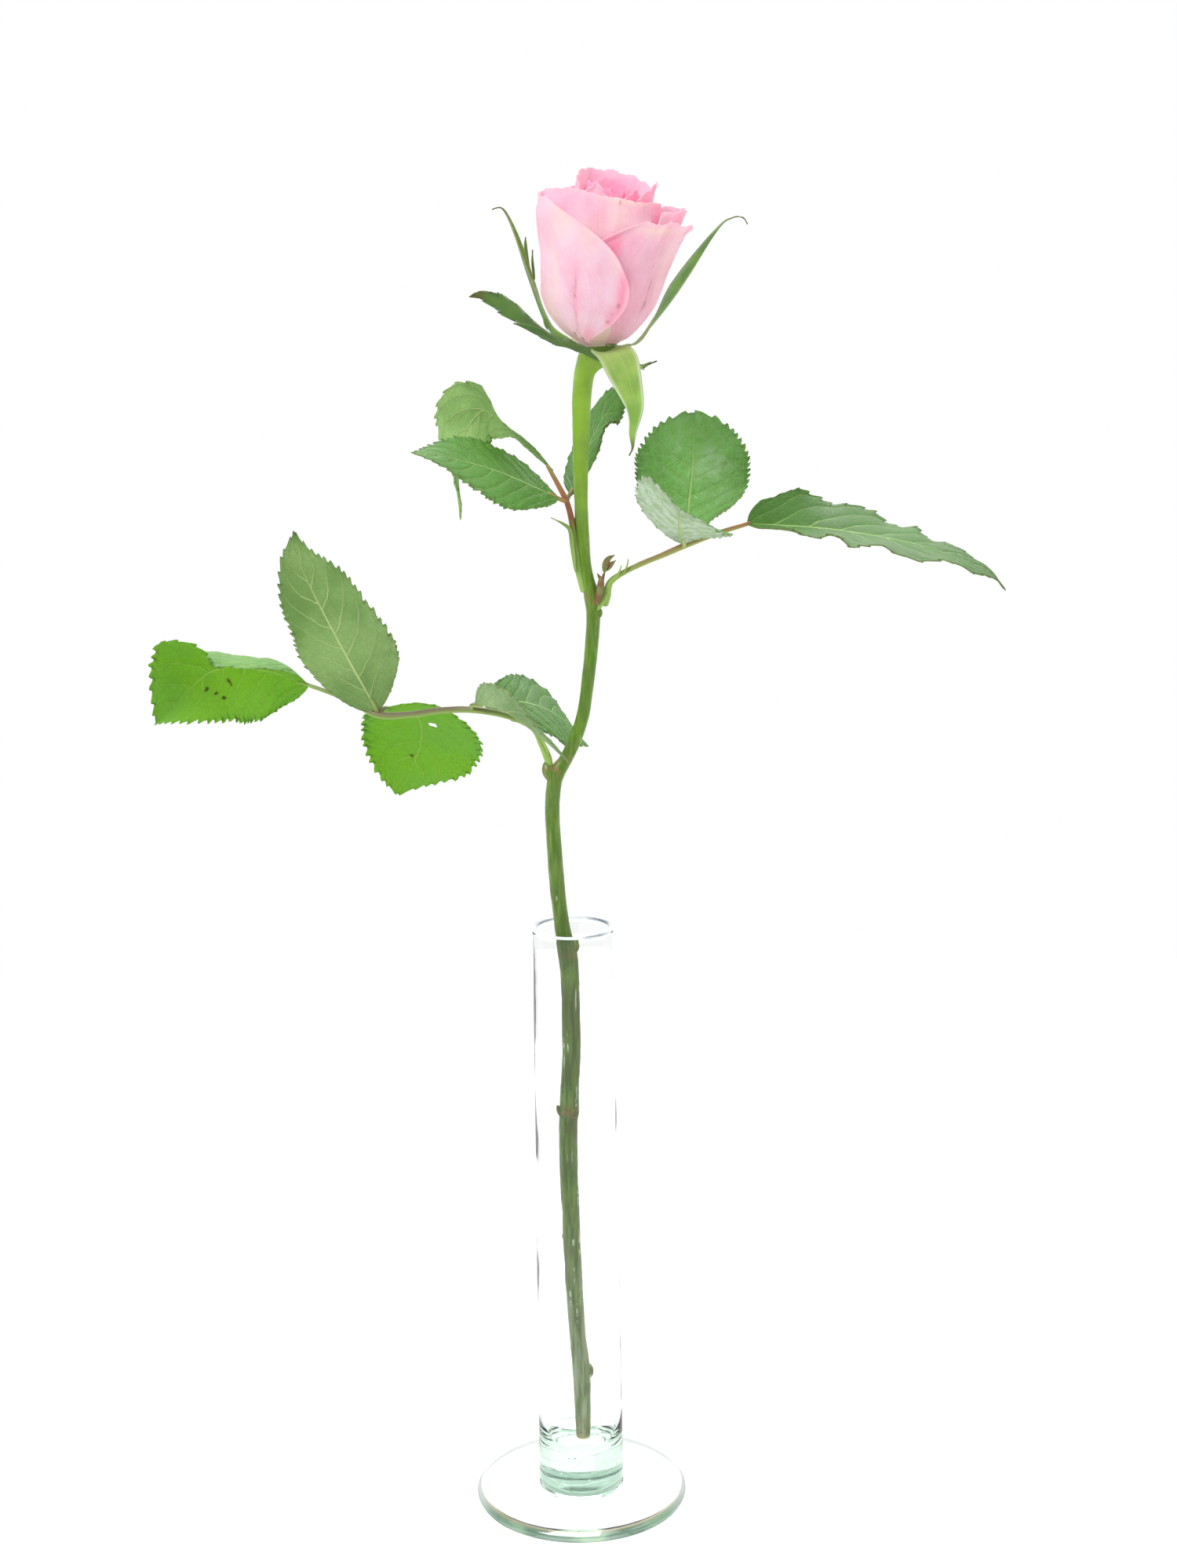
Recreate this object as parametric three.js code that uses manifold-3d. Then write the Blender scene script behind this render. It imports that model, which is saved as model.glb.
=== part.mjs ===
// A cut pink rose standing in a slim hand-made glass bud vase.
// Millimetres, +Z up. The origin is the centre of the foot's flat underside.
// The front of the object faces -Y.
import * as THREE from 'three';
import { mergeVertices } from 'three/addons/utils/BufferGeometryUtils.js';
import Module from 'manifold-3d';

const wasm = await Module();
wasm.setup();

// ---------------------------------------------------------------- vase
const VASE_HEIGHT = 200;
const RIM_RADIUS = 13.1;
const TUBE_FOOT_RADIUS = 14.1;
const WALL = 1.4;
const FLOOR_HEIGHT = 18;
const FOOT_RADIUS = 35.4;
const FOOT_THICKNESS = 4;
const VASE_SIDES = 30;

// ---------------------------------------------------------------- thicknesses
const LEAF_THICKNESS = 0.64;
const SEPAL_THICKNESS = 0.8;
const PETAL_THICKNESS = 0.72;

// ---------------------------------------------------------------- stem
// Each row is x, y, z and the radius there; the swellings are the leaf nodes.
const STEM = [
  [0.9, 3.2, 18.6, 2.4], [0.8, 2.7, 30, 2.7], [0.6, 1.8, 42.8, 3.0], [-0.6, 0.8, 57.5, 2.7],
  [-1.3, -0.1, 72, 3.0], [-2, -1.4, 94, 3.0], [-2.5, -2.8, 115, 3.0], [-2.4, -3.9, 134, 3.0],
  [-2.1, -4.3, 139, 3.2], [-1.6, -5.0, 150, 3.0], [-1, -5.7, 162, 3.0], [-1, -6.6, 180, 2.95],
  [-1.3, -7.0, 189, 3.0], [-2, -7.5, 195, 3.0], [-3.1, -8.0, 201, 2.5], [-4.1, -8.7, 210, 2.4],
  [-5.1, -9.5, 223.5, 2.35], [-5.7, -10.6, 239.5, 2.3], [-5.1, -11.2, 249.5, 2.35],
  [-3.7, -11.4, 254, 2.45], [-1.4, -11.6, 257.5, 2.15], [1.8, -12, 264, 2.1],
  [4.4, -12.6, 272, 1.95], [6, -13.2, 282, 1.95], [7.5, -14, 295, 2.05], [8.1, -14.6, 304, 2.2],
  [7.8, -14.9, 309, 2.45], [6.6, -15.3, 314.5, 2.0], [5.7, -15.6, 320, 1.9],
  [5.1, -16.1, 329, 2.0], [4.8, -16.8, 340, 2.05], [4.9, -17.6, 352, 2.35],
  [5.4, -18.4, 365, 2.7], [6, -18.9, 373, 2.85], [6.9, -19.1, 377.5, 3.0], [8.2, -19.25, 380, 3.3],
  [9.5, -19.4, 381.5, 4.1], [9.95, -19.43, 382.3, 4.5], [10.1, -19.47, 383.15, 4.6],
];
const STEM_SIDES = 8;
const STEM_STATIONS = 54;

// Buds and leaf scars on the stem: centre, radii along x, y, z.
const STEM_KNOBS = [
  { at: [-5.6, -11.3, 252.8], radii: [1.7, 1.7, 2.4] },
  { at: [10.4, -14.9, 304.2], radii: [1.8, 1.7, 2.2] },
  { at: [4, -15.2, 313.8], radii: [1.3, 1.3, 2] },
  { at: [2.2, -7.6, 193.6], radii: [2.0, 1.8, 2.8] },
  { at: [-5.2, -4.4, 138.5], radii: [1.2, 1.1, 2.2] },
  { at: [-4.4, -1.2, 94], radii: [1.2, 1.1, 1.8] },
  { at: [3.6, 1.6, 44], radii: [1.4, 1.3, 2.6] },
  { at: [-0.3, -7.2, 139], radii: [1.4, 1.1, 1.6] },
];
// The young side shoot above the middle leaf node.
const SIDE_SHOOT = [[9.2, -15.6, 308, 1.1], [10.6, -16.6, 312.5, 0.9], [10.9, -17, 317, 0.6], [11.8, -17.2, 321, 0.4]];
const SIDE_SHOOT_LEAF = {
  spine: [[10.9, -17, 316.5], [11.8, -17.2, 320], [13, -17.2, 323.5]], up: [0.5, -1, 0.2], roll: [0],
  width: 2.4, widest: 0.5, foldLeft: [20], foldRight: [20],
};

// ---------------------------------------------------------------- leaves
// A blade follows its midrib (spine, mm). "up" is the side the upper face turns to, "roll" turns
// the blade about the midrib (degrees, base to tip); fold and curl bend each half of the blade
// towards its upper face; a crease bends it at the hinge (share of the half width).
const LOWER_LEAF = {
  rachis: [
    [-5.85, -11.3, 256, 1.0], [-7, -11.1, 258.6, 1.25], [-8.6, -10.6, 262.4, 1.1], [-11.6, -10, 267.8, 1.0], [-20.3, -9, 271.6, 1.0],
    [-30.2, -8, 273.2, 1.05], [-40.3, -4, 272.4, 1.0], [-50.7, 0, 270.4, 1.05], [-61, 4, 269.8, 1.15],
    [-71.5, 8, 274.4, 0.85], [-86.5, 12.6, 279.2, 0.6],
  ],
  twigs: [
    [[-30.2, -8, 273.2, 0.8], [-30.2, -10, 275, 0.7], [-27, -14, 275.6, 0.6]],
    [[-30.2, -8, 273.2, 0.8], [-29.6, -5, 274.4, 0.7], [-25, -2.6, 274.4, 0.6]],
    [[-61, 4, 269.8, 0.9], [-61.2, 4, 271.6, 0.8], [-62.6, 2.4, 275, 0.6]],
    [[-60.5, 4, 269.9, 0.9], [-59.2, 5.6, 271.4, 0.8], [-57.6, 9, 270.8, 0.6]],
  ],
  leaflets: [
    {
      spine: [[-83.5, 12, 278], [-98, 16.5, 282.5], [-115.5, 18.5, 282], [-132, 6.5, 267.5]],
      up: [0, 1, 0.3], roll: [5, 15, 30], width: 51.5, widest: 0.52, blunt: 0.7, point: 0.8,
      foldLeft: [-25, 0, 5], foldRight: [-5, 0, 25], curlLeft: [-20, -10, 20], curlRight: [-5, 5, 35],
      creaseLeft: -90, hingeLeft: [1, 0.95, 0.5, 0.4, 0.42, 0.7, 1.1, 1.6], columns: 8, wave: 1.1, waves: 2, phaseLeft: 0.6, phaseRight: 0.7,
    },
    {
      spine: [[-61, 4, 271], [-71.5, -4, 294.5], [-82.5, -2.5, 318], [-84.5, -3, 329.5]],
      up: [0, 1, 0.3], roll: [-5, 20, 5], width: 40.5, widest: 0.47, blunt: 0.7, point: 0.9,
      foldLeft: [15, 0, 0], foldRight: [10, 10, 5], curlLeft: [5, -15, -10], curlRight: [0, 5, -5],
      wave: 0.5, waves: 3, phaseLeft: 0.1, phaseRight: 0.6,
    },
    {
      spine: [[-59.5, 5, 271.5], [-50, 22.5, 265.5], [-50, 35, 253], [-58, 44, 234.5]],
      up: [0, 1, 0.6], roll: [-15, -20, 15], width: 43, widest: 0.57, blunt: 0.7, point: 0.9,
      foldLeft: [5, 0, -5], foldRight: [5, 0, 5], curlLeft: [10, 0, -10], curlRight: [5, 5, 5],
      wave: 1.3, waves: 2, phaseLeft: 0, phaseRight: 0.2,
    },
    {
      spine: [[-29, -12, 275.5], [-20, -22, 275.5], [-7.5, -27, 267], [0, -30.5, 260.5]],
      up: [0, 0, 1], roll: [10, 0, 5], width: 19, widest: 0.33, blunt: 0.7, point: 0.9,
      foldLeft: [35, 15, 15], foldRight: [80, 60, 35], curlLeft: [-15, -50, -40], curlRight: [0, -25, -35],
      wave: 0.7, waves: 2, phaseLeft: 0, phaseRight: 0.5,
    },
    {
      spine: [[-28, -4, 274.5], [-14.5, 2, 273.5], [-4, 12.5, 267], [5.5, 20.5, 255.5]],
      up: [0, -0.3, 1], roll: [0, -10, 5], width: 32, widest: 0.5, blunt: 0.7, point: 0.9,
      foldLeft: [15, 15, 10], foldRight: [0, -10, -5], curlLeft: [-5, -5, -10], curlRight: [-5, -15, -10],
      wave: 0.6, waves: 2, phaseLeft: 0.1, phaseRight: 0.5,
    },
  ],
  stipules: [
    {
      spine: [[-7.2, -11, 257.6], [-9, -10.6, 262.6], [-11.4, -10, 267.4]], up: [0.6, 0.5, 0.6], roll: [0],
      width: 4.6, widest: 0.35, foldLeft: [10], foldRight: [10],
    },
  ],
};
const MIDDLE_LEAF = {
  rachis: [
    [11.8, -14.9, 306.8, 0.8], [12.2, -14.9, 309.4, 1.3], [13.3, -14.9, 313.6, 1.0], [17, -14.8, 316.4, 0.85],
    [23.3, -14.6, 319.4, 0.85], [29.5, -14.4, 321.8, 0.85], [35.8, -14.2, 324.4, 0.95], [45.6, -14.1, 328, 0.8],
    [56.4, -14, 331.2, 0.6],
  ],
  twigs: [
    [[35.8, -14.2, 324.4, 0.8], [36.6, -12.2, 325, 0.7], [37.6, -8.6, 327.6, 0.6]],
    [[35.8, -14.2, 324.4, 0.8], [36.1, -16.2, 325.4, 0.7], [35.5, -20.5, 327.4, 0.6]],
  ],
  leaflets: [
    {
      spine: [[55.5, -14, 331], [83, -13, 328.5], [108.5, -19, 324], [128, -15.5, 316], [135, -12.5, 309.5]],
      up: [0, -0.3, 1], roll: [0, 20, 10], width: 36.5, widest: 0.39, blunt: 0.7, point: 0.9,
      foldLeft: [40, 20, 25], foldRight: [5, -10, -10], curlLeft: [15, -15, -10], curlRight: [25, 5, -5],
      wave: 1.1, waves: 4, phaseLeft: 0.3, phaseRight: 0.7,
    },
    {
      spine: [[37.5, -10, 325.5], [38, -3.5, 334], [39.5, -1, 348.5], [40, -2.5, 364]],
      up: [0, -1, 0.4], roll: [15, 5, 5], width: 37, widest: 0.57, blunt: 0.5, point: 0.55,
      foldLeft: [5, 0, -5], foldRight: [15, 0, -5], curlLeft: [5, 0, -5], curlRight: [20, 0, -5],
      wave: 0.8, waves: 2, phaseLeft: 0.1, phaseRight: 0.7,
    },
    {
      spine: [[36, -17, 325.5], [34.5, -26.5, 330.5], [34, -39.5, 337], [33.5, -53.5, 340]],
      up: [0, 0, 1], roll: [0, 20, 35], width: 34, widest: 0.55, blunt: 0.7, point: 0.8,
      foldLeft: [10, 5, 10], foldRight: [10, 15, 15], curlLeft: [0, -10, -5], curlRight: [0, 5, 10],
      wave: 0.7, waves: 2, phaseLeft: 0.3, phaseRight: 0.8,
    },
  ],
  stipules: [
    {
      spine: [[12, -15, 308], [14, -15.6, 314.6], [17.4, -16.4, 320]], up: [-0.6, 0.2, 0.7], roll: [0],
      width: 4.4, widest: 0.35, foldLeft: [10], foldRight: [10],
    },
  ],
};
const UPPER_LEAF = {
  rachis: [
    [3.1, -15.4, 316.5, 0.9], [2.4, -15.8, 322, 0.95], [1.85, -16.2, 329, 0.9], [1.6, -16.8, 334, 0.9],
    [0.4, -17.3, 339, 0.85], [-2, -17.8, 344, 0.75], [-5.2, -17.8, 350, 0.55],
  ],
  twigs: [
    [[0.4, -17.3, 339, 0.7], [-1.4, -20.6, 340, 0.65], [-5, -23.4, 342.2, 0.55]],
    [[0.4, -17.3, 339, 0.7], [0.9, -15, 340, 0.65], [2.2, -11.8, 342.2, 0.55]],
  ],
  leaflets: [
    {
      spine: [[-2, -22, 340.5], [-18.5, -29.5, 349], [-32.5, -35.5, 354], [-44, -42, 356.5]],
      up: [0, -0.4, 1], roll: [5, 10, -5], width: 28.5, widest: 0.47, blunt: 0.75, point: 0.9,
      foldLeft: [-10, -5, 0], foldRight: [5, 5, 5], curlLeft: [-15, -10, 0], curlRight: [-10, -5, -5],
      wave: 0.6, waves: 2, phaseLeft: 0.1, phaseRight: 0.9,
    },
    {
      spine: [[-3.5, -18, 348.5], [-17.5, -15, 361], [-25.5, -4, 365.5], [-33, -1, 351.5], [-33, 1, 332.5]],
      up: [0, 1, 0.3], roll: [15, 80, 10, -55, -75], width: 28.5, widest: 0.66, blunt: 0.8, point: 0.9,
      foldLeft: [35, 20, 10], foldRight: [45, -25, 0], curlLeft: [-35, 0, 10], curlRight: [-20, -70, 0],
      wave: 0.7, waves: 2, phaseLeft: 0.1, phaseRight: 0.6,
    },
    {
      spine: [[1.5, -14, 340], [5, -3.5, 349.5], [12.5, 2.5, 363], [19.5, -0.5, 370.5]],
      up: [0, -1, 0.4], roll: [10, 55, 20], width: 22.5, widest: 0.66, blunt: 0.75, point: 0.9,
      foldLeft: [-5, -5, -5], foldRight: [-5, 10, 0], curlLeft: [-5, -10, -5], curlRight: [-5, 15, 5],
      wave: 1.1, waves: 2, phaseLeft: 0.3, phaseRight: 0.9,
    },
  ],
  stipules: [
    {
      spine: [[1.6, -16, 322], [0.4, -16.4, 329], [-0.6, -17, 333.5], [-4.4, -18, 334.6]], up: [-0.7, -0.6, 0.2],
      roll: [0], width: 3.4, widest: 0.35, foldLeft: [10], foldRight: [10],
    },
  ],
};
const LEAF_STATIONS = 16;
const LEAF_COLUMNS = 4;
const TOOTH_DEPTH = 0.07;
// Width of a crease, as a share of the half width.
const CREASE_WIDTH = 0.12;

// ---------------------------------------------------------------- calyx
const CALYX_RING = [[10.15, -19.5, 383.65, 4.8], [10.33, -19.55, 385.1, 5.2]];
const SEPALS = [
  {
    spine: [[7.6, -17, 384.85], [1.5, -14, 386.4], [-4.8, -11.5, 390.4], [-10.5, -10, 406], [-15.5, -10, 420.5], [-20.5, -10, 426.5]],
    up: [1, 0.2, 0], roll: [0], width: 7, widest: 0.3, foldLeft: [20], foldRight: [20],
  },
  {
    spine: [[9.6, -22, 384.4], [4.5, -25.6, 385.4], [-2, -28.8, 387.8], [-18.5, -30, 399.5], [-27, -33.5, 401.5]],
    up: [0, 1, 0.3], roll: [10, 40, -5], width: 8, widest: 0.56,
    foldLeft: [5, -15, 10], foldRight: [10, 10, 5], curlLeft: [-5, -35, -5], curlRight: [5, 0, -5],
  },
  {
    spine: [[12.4, -18, 384.6], [17.5, -16, 385.2], [23.4, -14.2, 387.6], [34.2, -10.5, 403.2], [49.5, -14, 421], [55.5, -12.5, 421]],
    up: [-1, -0.2, 0.3], roll: [-5, 5, 30, 40, 40], width: 7.4, widest: 0.34,
    foldLeft: [0, -10, -10], foldRight: [-5, 0, 0], curlLeft: [0, -15, -15], curlRight: [-5, 0, 0],
  },
  {
    spine: [[11.6, -21.8, 384.6], [17.5, -31, 381.5], [21, -43, 370], [19.5, -39.5, 355]],
    up: [0, -1, 1], roll: [20, -25, -10], width: 10, widest: 0.22,
    foldLeft: [0, 10, 0], foldRight: [10, -5, -5], curlLeft: [0, 10, 5], curlRight: [15, -5, -5],
  },
  {
    spine: [[10.6, -17.4, 384.8], [12.6, -13.6, 384.9], [19, -4.5, 382], [25, 2, 378], [28.5, -0.5, 380]],
    up: [0, 0.5, 1], roll: [0], width: 6, widest: 0.3, foldLeft: [0], foldRight: [0],
  },
];
const SEPAL_STATIONS = 12;
const SEPAL_COLUMNS = 2;

// ---------------------------------------------------------------- bloom
const BLOOM_BASE = [9.9, -19.6, 386.35];
const BLOOM_TOP = [14.6, -21.1, 420.75];
// Outline of the closed flower: height above its base and radius.
const BLOOM_OUTLINE = [
  [0, 4.2], [1, 6.8], [3, 10.6], [6.5, 13.8], [10, 16], [14, 17.8], [20, 19], [25, 20.2], [30, 21.6],
  [35.5, 22.8], [41, 22.8], [47, 21.4], [54, 19],
];
// A petal spans from its left to its right margin (degrees round the flower, 0 = front, positive
// to the right), listed from base to top; rise is the height of its top margin from left to
// right; inset is how far each margin lies inside the outline; flare turns the top margin out;
// an inner petal starts at the height "from" and its top margin has the radius "mouth".
const PETALS = [
  {
    left: [-80, -150, -172, -176, -174, -150], right: [-25, 7, 21, 22.5, 14, 1, -22, -58],
    rise: [41.4, 42.4, 42.4, 42, 41], inset: [1.6, -0.7], flare: [0, -0.4, -0.6],
  },
  {
    left: [40, 2, -24, -28, -14, 14], right: [100, 140, 150, 150, 140, 112], rise: [35.6, 36.8, 36.8, 36.4, 36],
    inset: [2, 0.4], flare: [0, 0.3, 2],
  },
  {
    left: [150, 132, 124, 126, 132, 150], right: [190, 210, 216, 216, 208, 190], rise: [39, 41.5, 42, 41.5, 40],
    inset: [1.8, 0], flare: [1.5, 1.8, 1],
  },
  {
    left: [-30, -84, -108, -112, -110, -104], right: [30, 58, 70, 70, 60, 50], rise: [40.8, 43.4, 45.2, 45.6, 45.4, 43.4],
    inset: [2.8, 4.4], mouth: [20.8, 19.6, 17.6, 17.2, 17.4], from: 0, flare: [0],
  },
  {
    left: [60, 38, 34, 36, 40, 44], right: [120, 160, 170, 168, 160, 140], rise: [40.6, 41.2, 41.4, 41.4, 41],
    inset: [3, 2.4], flare: [0, 1.2, 2.6],
  },
  {
    left: [170, 150, 146, 148, 152, 164], right: [270, 292, 300, 300, 292, 276], rise: [41, 43, 44, 43, 42],
    inset: [4.8, 3.2], flare: [0, -0.6, -0.6],
  },
  {
    left: [104, 100, 112], right: [214, 226, 216], rise: [46.4, 49.6, 51, 51, 50],
    inset: [5.6, 5.2], mouth: [11.8], from: 27, flare: [0, 0.3, 0.3],
  },
  {
    left: [-140, -146, -142], right: [-36, -40, -52], rise: [49.6, 50, 49.4, 47.8, 44.6],
    inset: [6.2, 5.4], mouth: [11.6], from: 27, flare: [0, 0.3, 0.4],
  },
  {
    left: [26, 32, 40], right: [120, 126, 112], rise: [44.6, 47.4, 48.8, 48.8, 46.6],
    inset: [6.2, 5.6], mouth: [11.6], from: 27, flare: [0.4, 0.3, 0.2],
  },
  {
    left: [-56, -58, -44], right: [46, 48, 36], rise: [44.4, 46, 45.4, 44.8, 44],
    inset: [7, 7.6], mouth: [10], from: 27, flare: [0, 0, 0],
  },
  {
    left: [126, 124, 136], right: [236, 244, 230], rise: [47, 49.6, 50.4, 50, 48],
    inset: [9, 8.4], mouth: [8.4], from: 30, flare: [0, 0, 0],
  },
  {
    left: [-116, -112, -96], right: [-20, 8, -4], rise: [48.6, 49.4, 48.4, 46.4, 45],
    inset: [9.4, 8.8], mouth: [7.6], from: 30, flare: [0, 0, 0],
  },
  {
    left: [16, 20, 30], right: [118, 124, 110], rise: [45, 47.4, 48.4, 48, 47],
    inset: [9.6, 9], mouth: [6.8], from: 30, flare: [0, 0, 0],
  },
  {
    left: [-170, -168, -160], right: [20, 30, 20], rise: [47, 48.4, 48.8, 47.6, 46],
    inset: [12.2, 11.6], mouth: [4.4], from: 34, flare: [0, 0, 0],
  },
  {
    left: [40, 44, 50], right: [150, 156, 146], rise: [46, 47.6, 48.2, 47.8, 46.8],
    inset: [12.6, 12], mouth: [4], from: 34, flare: [0, 0, 0],
  },
];
const PETAL_ROWS = 7;
const PETAL_COLUMNS = 6;
const INNER_PETAL_ROWS = 4;
const INNER_PETAL_COLUMNS = 5;
const PETAL_CURL_START = 0.72;
// Solid heart of the flower: height above its base and radius.
const HEART = [
  [0, 4], [1.6, 7], [3.4, 8.8], [6, 11], [12, 12.6], [22, 14.2], [28, 14.2], [32, 11], [36, 8.2], [40, 5.4], [43, 2.6],
];
const HEART_SIDES = 12;

// ---------------------------------------------------------------- helpers
const DEG = Math.PI / 180;

/** Value at share t (0 to 1) of evenly spaced knots. */
function knot(values, t) {
  if (values.length === 1) return values[0];
  const x = Math.min(Math.max(t, 0), 1) * (values.length - 1);
  const i = Math.min(Math.floor(x), values.length - 2);
  return values[i] + (values[i + 1] - values[i]) * (x - i);
}

/** Value at x of a list of [x, value] pairs. */
function table(pairs, x) {
  for (let i = 1; i < pairs.length; i += 1) {
    if (x <= pairs[i][0]) {
      const share = (x - pairs[i - 1][0]) / (pairs[i][0] - pairs[i - 1][0]);
      return pairs[i - 1][1] + (pairs[i][1] - pairs[i - 1][1]) * Math.max(share, 0);
    }
  }
  return pairs[pairs.length - 1][1];
}

function smooth(t) {
  const x = Math.min(Math.max(t, 0), 1);
  return x * x * (3 - 2 * x);
}

/** Smooth line through points, measured by share of its length. */
function line(points) {
  const vectors = points.map((p) => new THREE.Vector3(p[0], p[1], p[2]));
  return new THREE.CatmullRomCurve3(vectors, false, 'catmullrom', 0.5);
}

/** A closed body from rows of ring points; the first and last ring are closed by a fan. */
function ringBody(rings) {
  const count = rings[0].length;
  const points = rings.flat();
  const faces = [];
  for (let i = 0; i + 1 < rings.length; i += 1) {
    for (let j = 0; j < count; j += 1) {
      const a = i * count + j;
      const b = i * count + ((j + 1) % count);
      faces.push([a, b, b + count], [a, b + count, a + count]);
    }
  }
  for (const [ring, turn] of [[0, true], [rings.length - 1, false]]) {
    const centre = new THREE.Vector3();
    rings[ring].forEach((p) => centre.addScaledVector(p, 1 / count));
    points.push(centre);
    for (let j = 0; j < count; j += 1) {
      const a = ring * count + j;
      const b = ring * count + ((j + 1) % count);
      faces.push(turn ? [b, a, points.length - 1] : [a, b, points.length - 1]);
    }
  }
  return solid(points, faces);
}

/** A round rod along rows of x, y, z, radius. */
function rod(rows, sides, stations) {
  const curve = line(rows);
  const lengths = curve.getLengths(200);
  const total = lengths[lengths.length - 1];
  const spots = rows.map((row, i) => lengths[Math.round((200 * i) / (rows.length - 1))] / total);
  const frames = curve.computeFrenetFrames(stations, false);
  const rings = [];
  for (let i = 0; i <= stations; i += 1) {
    const share = i / stations;
    const centre = curve.getPointAt(share);
    const radius = table(rows.map((row, k) => [spots[k], row[3]]), share);
    const ring = [];
    for (let j = 0; j < sides; j += 1) {
      const turn = (2 * Math.PI * j) / sides;
      ring.push(centre.clone()
        .addScaledVector(frames.normals[i], radius * Math.cos(turn))
        .addScaledVector(frames.binormals[i], radius * Math.sin(turn)));
    }
    rings.push(ring);
  }
  return ringBody(rings);
}

/** A closed plate: the middle surface as a grid of points, thickened both ways. */
function plate(grid, thickness) {
  const rows = grid.length;
  const columns = grid[0].length;
  const points = [];
  for (const side of [1, -1]) {
    for (let i = 0; i < rows; i += 1) {
      for (let j = 0; j < columns; j += 1) {
        const along = grid[Math.min(i + 1, rows - 1)][j].clone().sub(grid[Math.max(i - 1, 0)][j]);
        const across = grid[i][Math.min(j + 1, columns - 1)].clone().sub(grid[i][Math.max(j - 1, 0)]);
        const normal = along.cross(across).normalize();
        points.push(grid[i][j].clone().addScaledVector(normal, (side * thickness) / 2));
      }
    }
  }
  const half = rows * columns;
  const faces = [];
  const index = (i, j) => i * columns + j;
  for (let i = 0; i + 1 < rows; i += 1) {
    for (let j = 0; j + 1 < columns; j += 1) {
      const [a, b, c, d] = [index(i, j), index(i, j + 1), index(i + 1, j + 1), index(i + 1, j)];
      const halves = (i + j) % 2 ? [[a, d, c], [a, c, b]] : [[a, d, b], [d, c, b]];
      for (const face of halves) {
        faces.push(face, [face[0] + half, face[2] + half, face[1] + half]);
      }
    }
  }
  const rim = [];
  for (let j = 0; j + 1 < columns; j += 1) rim.push(index(0, j));
  for (let i = 0; i + 1 < rows; i += 1) rim.push(index(i, columns - 1));
  for (let j = columns - 1; j > 0; j -= 1) rim.push(index(rows - 1, j));
  for (let i = rows - 1; i > 0; i -= 1) rim.push(index(i, 0));
  rim.forEach((a, k) => {
    const b = rim[(k + 1) % rim.length];
    faces.push([a, b, b + half], [a, b + half, a + half]);
  });
  return solid(points, faces);
}

/** A manifold solid from points and triangles, turned outwards. */
function solid(points, faces) {
  const build = (list) => new wasm.Manifold(new wasm.Mesh({
    numProp: 3,
    vertProperties: new Float32Array(points.flatMap((p) => [p.x, p.y, p.z])),
    triVerts: new Uint32Array(list.flat()),
  }));
  const body = build(faces);
  return body.volume() > 0 ? body : build(faces.map(([a, b, c]) => [a, c, b]));
}

/** One body from several that overlap. */
function fuse(bodies) {
  return bodies.slice(1).reduce((sum, body) => sum.add(body), bodies[0]);
}

/** The same body with the small hollows sealed inside it filled. */
function filled(body) {
  return fuse(body.decompose().filter((shell) => shell.volume() > 0));
}

/** A solid from a closed three.js geometry. */
function fromGeometry(geometry) {
  const bare = geometry.clone();
  bare.deleteAttribute('normal');
  bare.deleteAttribute('uv');
  const merged = mergeVertices(bare, 1e-4);
  const place = merged.getAttribute('position');
  const points = [];
  for (let i = 0; i < place.count; i += 1) points.push(new THREE.Vector3().fromBufferAttribute(place, i));
  const order = Array.from(merged.getIndex().array);
  const faces = [];
  for (let i = 0; i < order.length; i += 3) faces.push(order.slice(i, i + 3));
  return solid(points, faces.filter(([a, b, c]) => a !== b && b !== c && c !== a));
}

/** A three.js geometry from a solid. */
function toGeometry(body) {
  const mesh = body.getMesh();
  const geometry = new THREE.BufferGeometry();
  geometry.setAttribute('position', new THREE.BufferAttribute(mesh.vertProperties.slice(), 3));
  geometry.setIndex(new THREE.BufferAttribute(mesh.triVerts.slice(), 1));
  return geometry;
}

// ---------------------------------------------------------------- blades
/** Half width of a blade at share t of its length, as a share of its widest half width. */
function bladeProfile(spec, t) {
  const power = Math.log(0.5) / Math.log(spec.widest ?? 0.42);
  const blunt = spec.blunt ?? 0.5;
  const point = spec.point ?? 1.2;
  const sine = Math.max(Math.sin(Math.PI * t ** power), 0);
  return sine ** (blunt + (point - blunt) * t);
}

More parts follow.
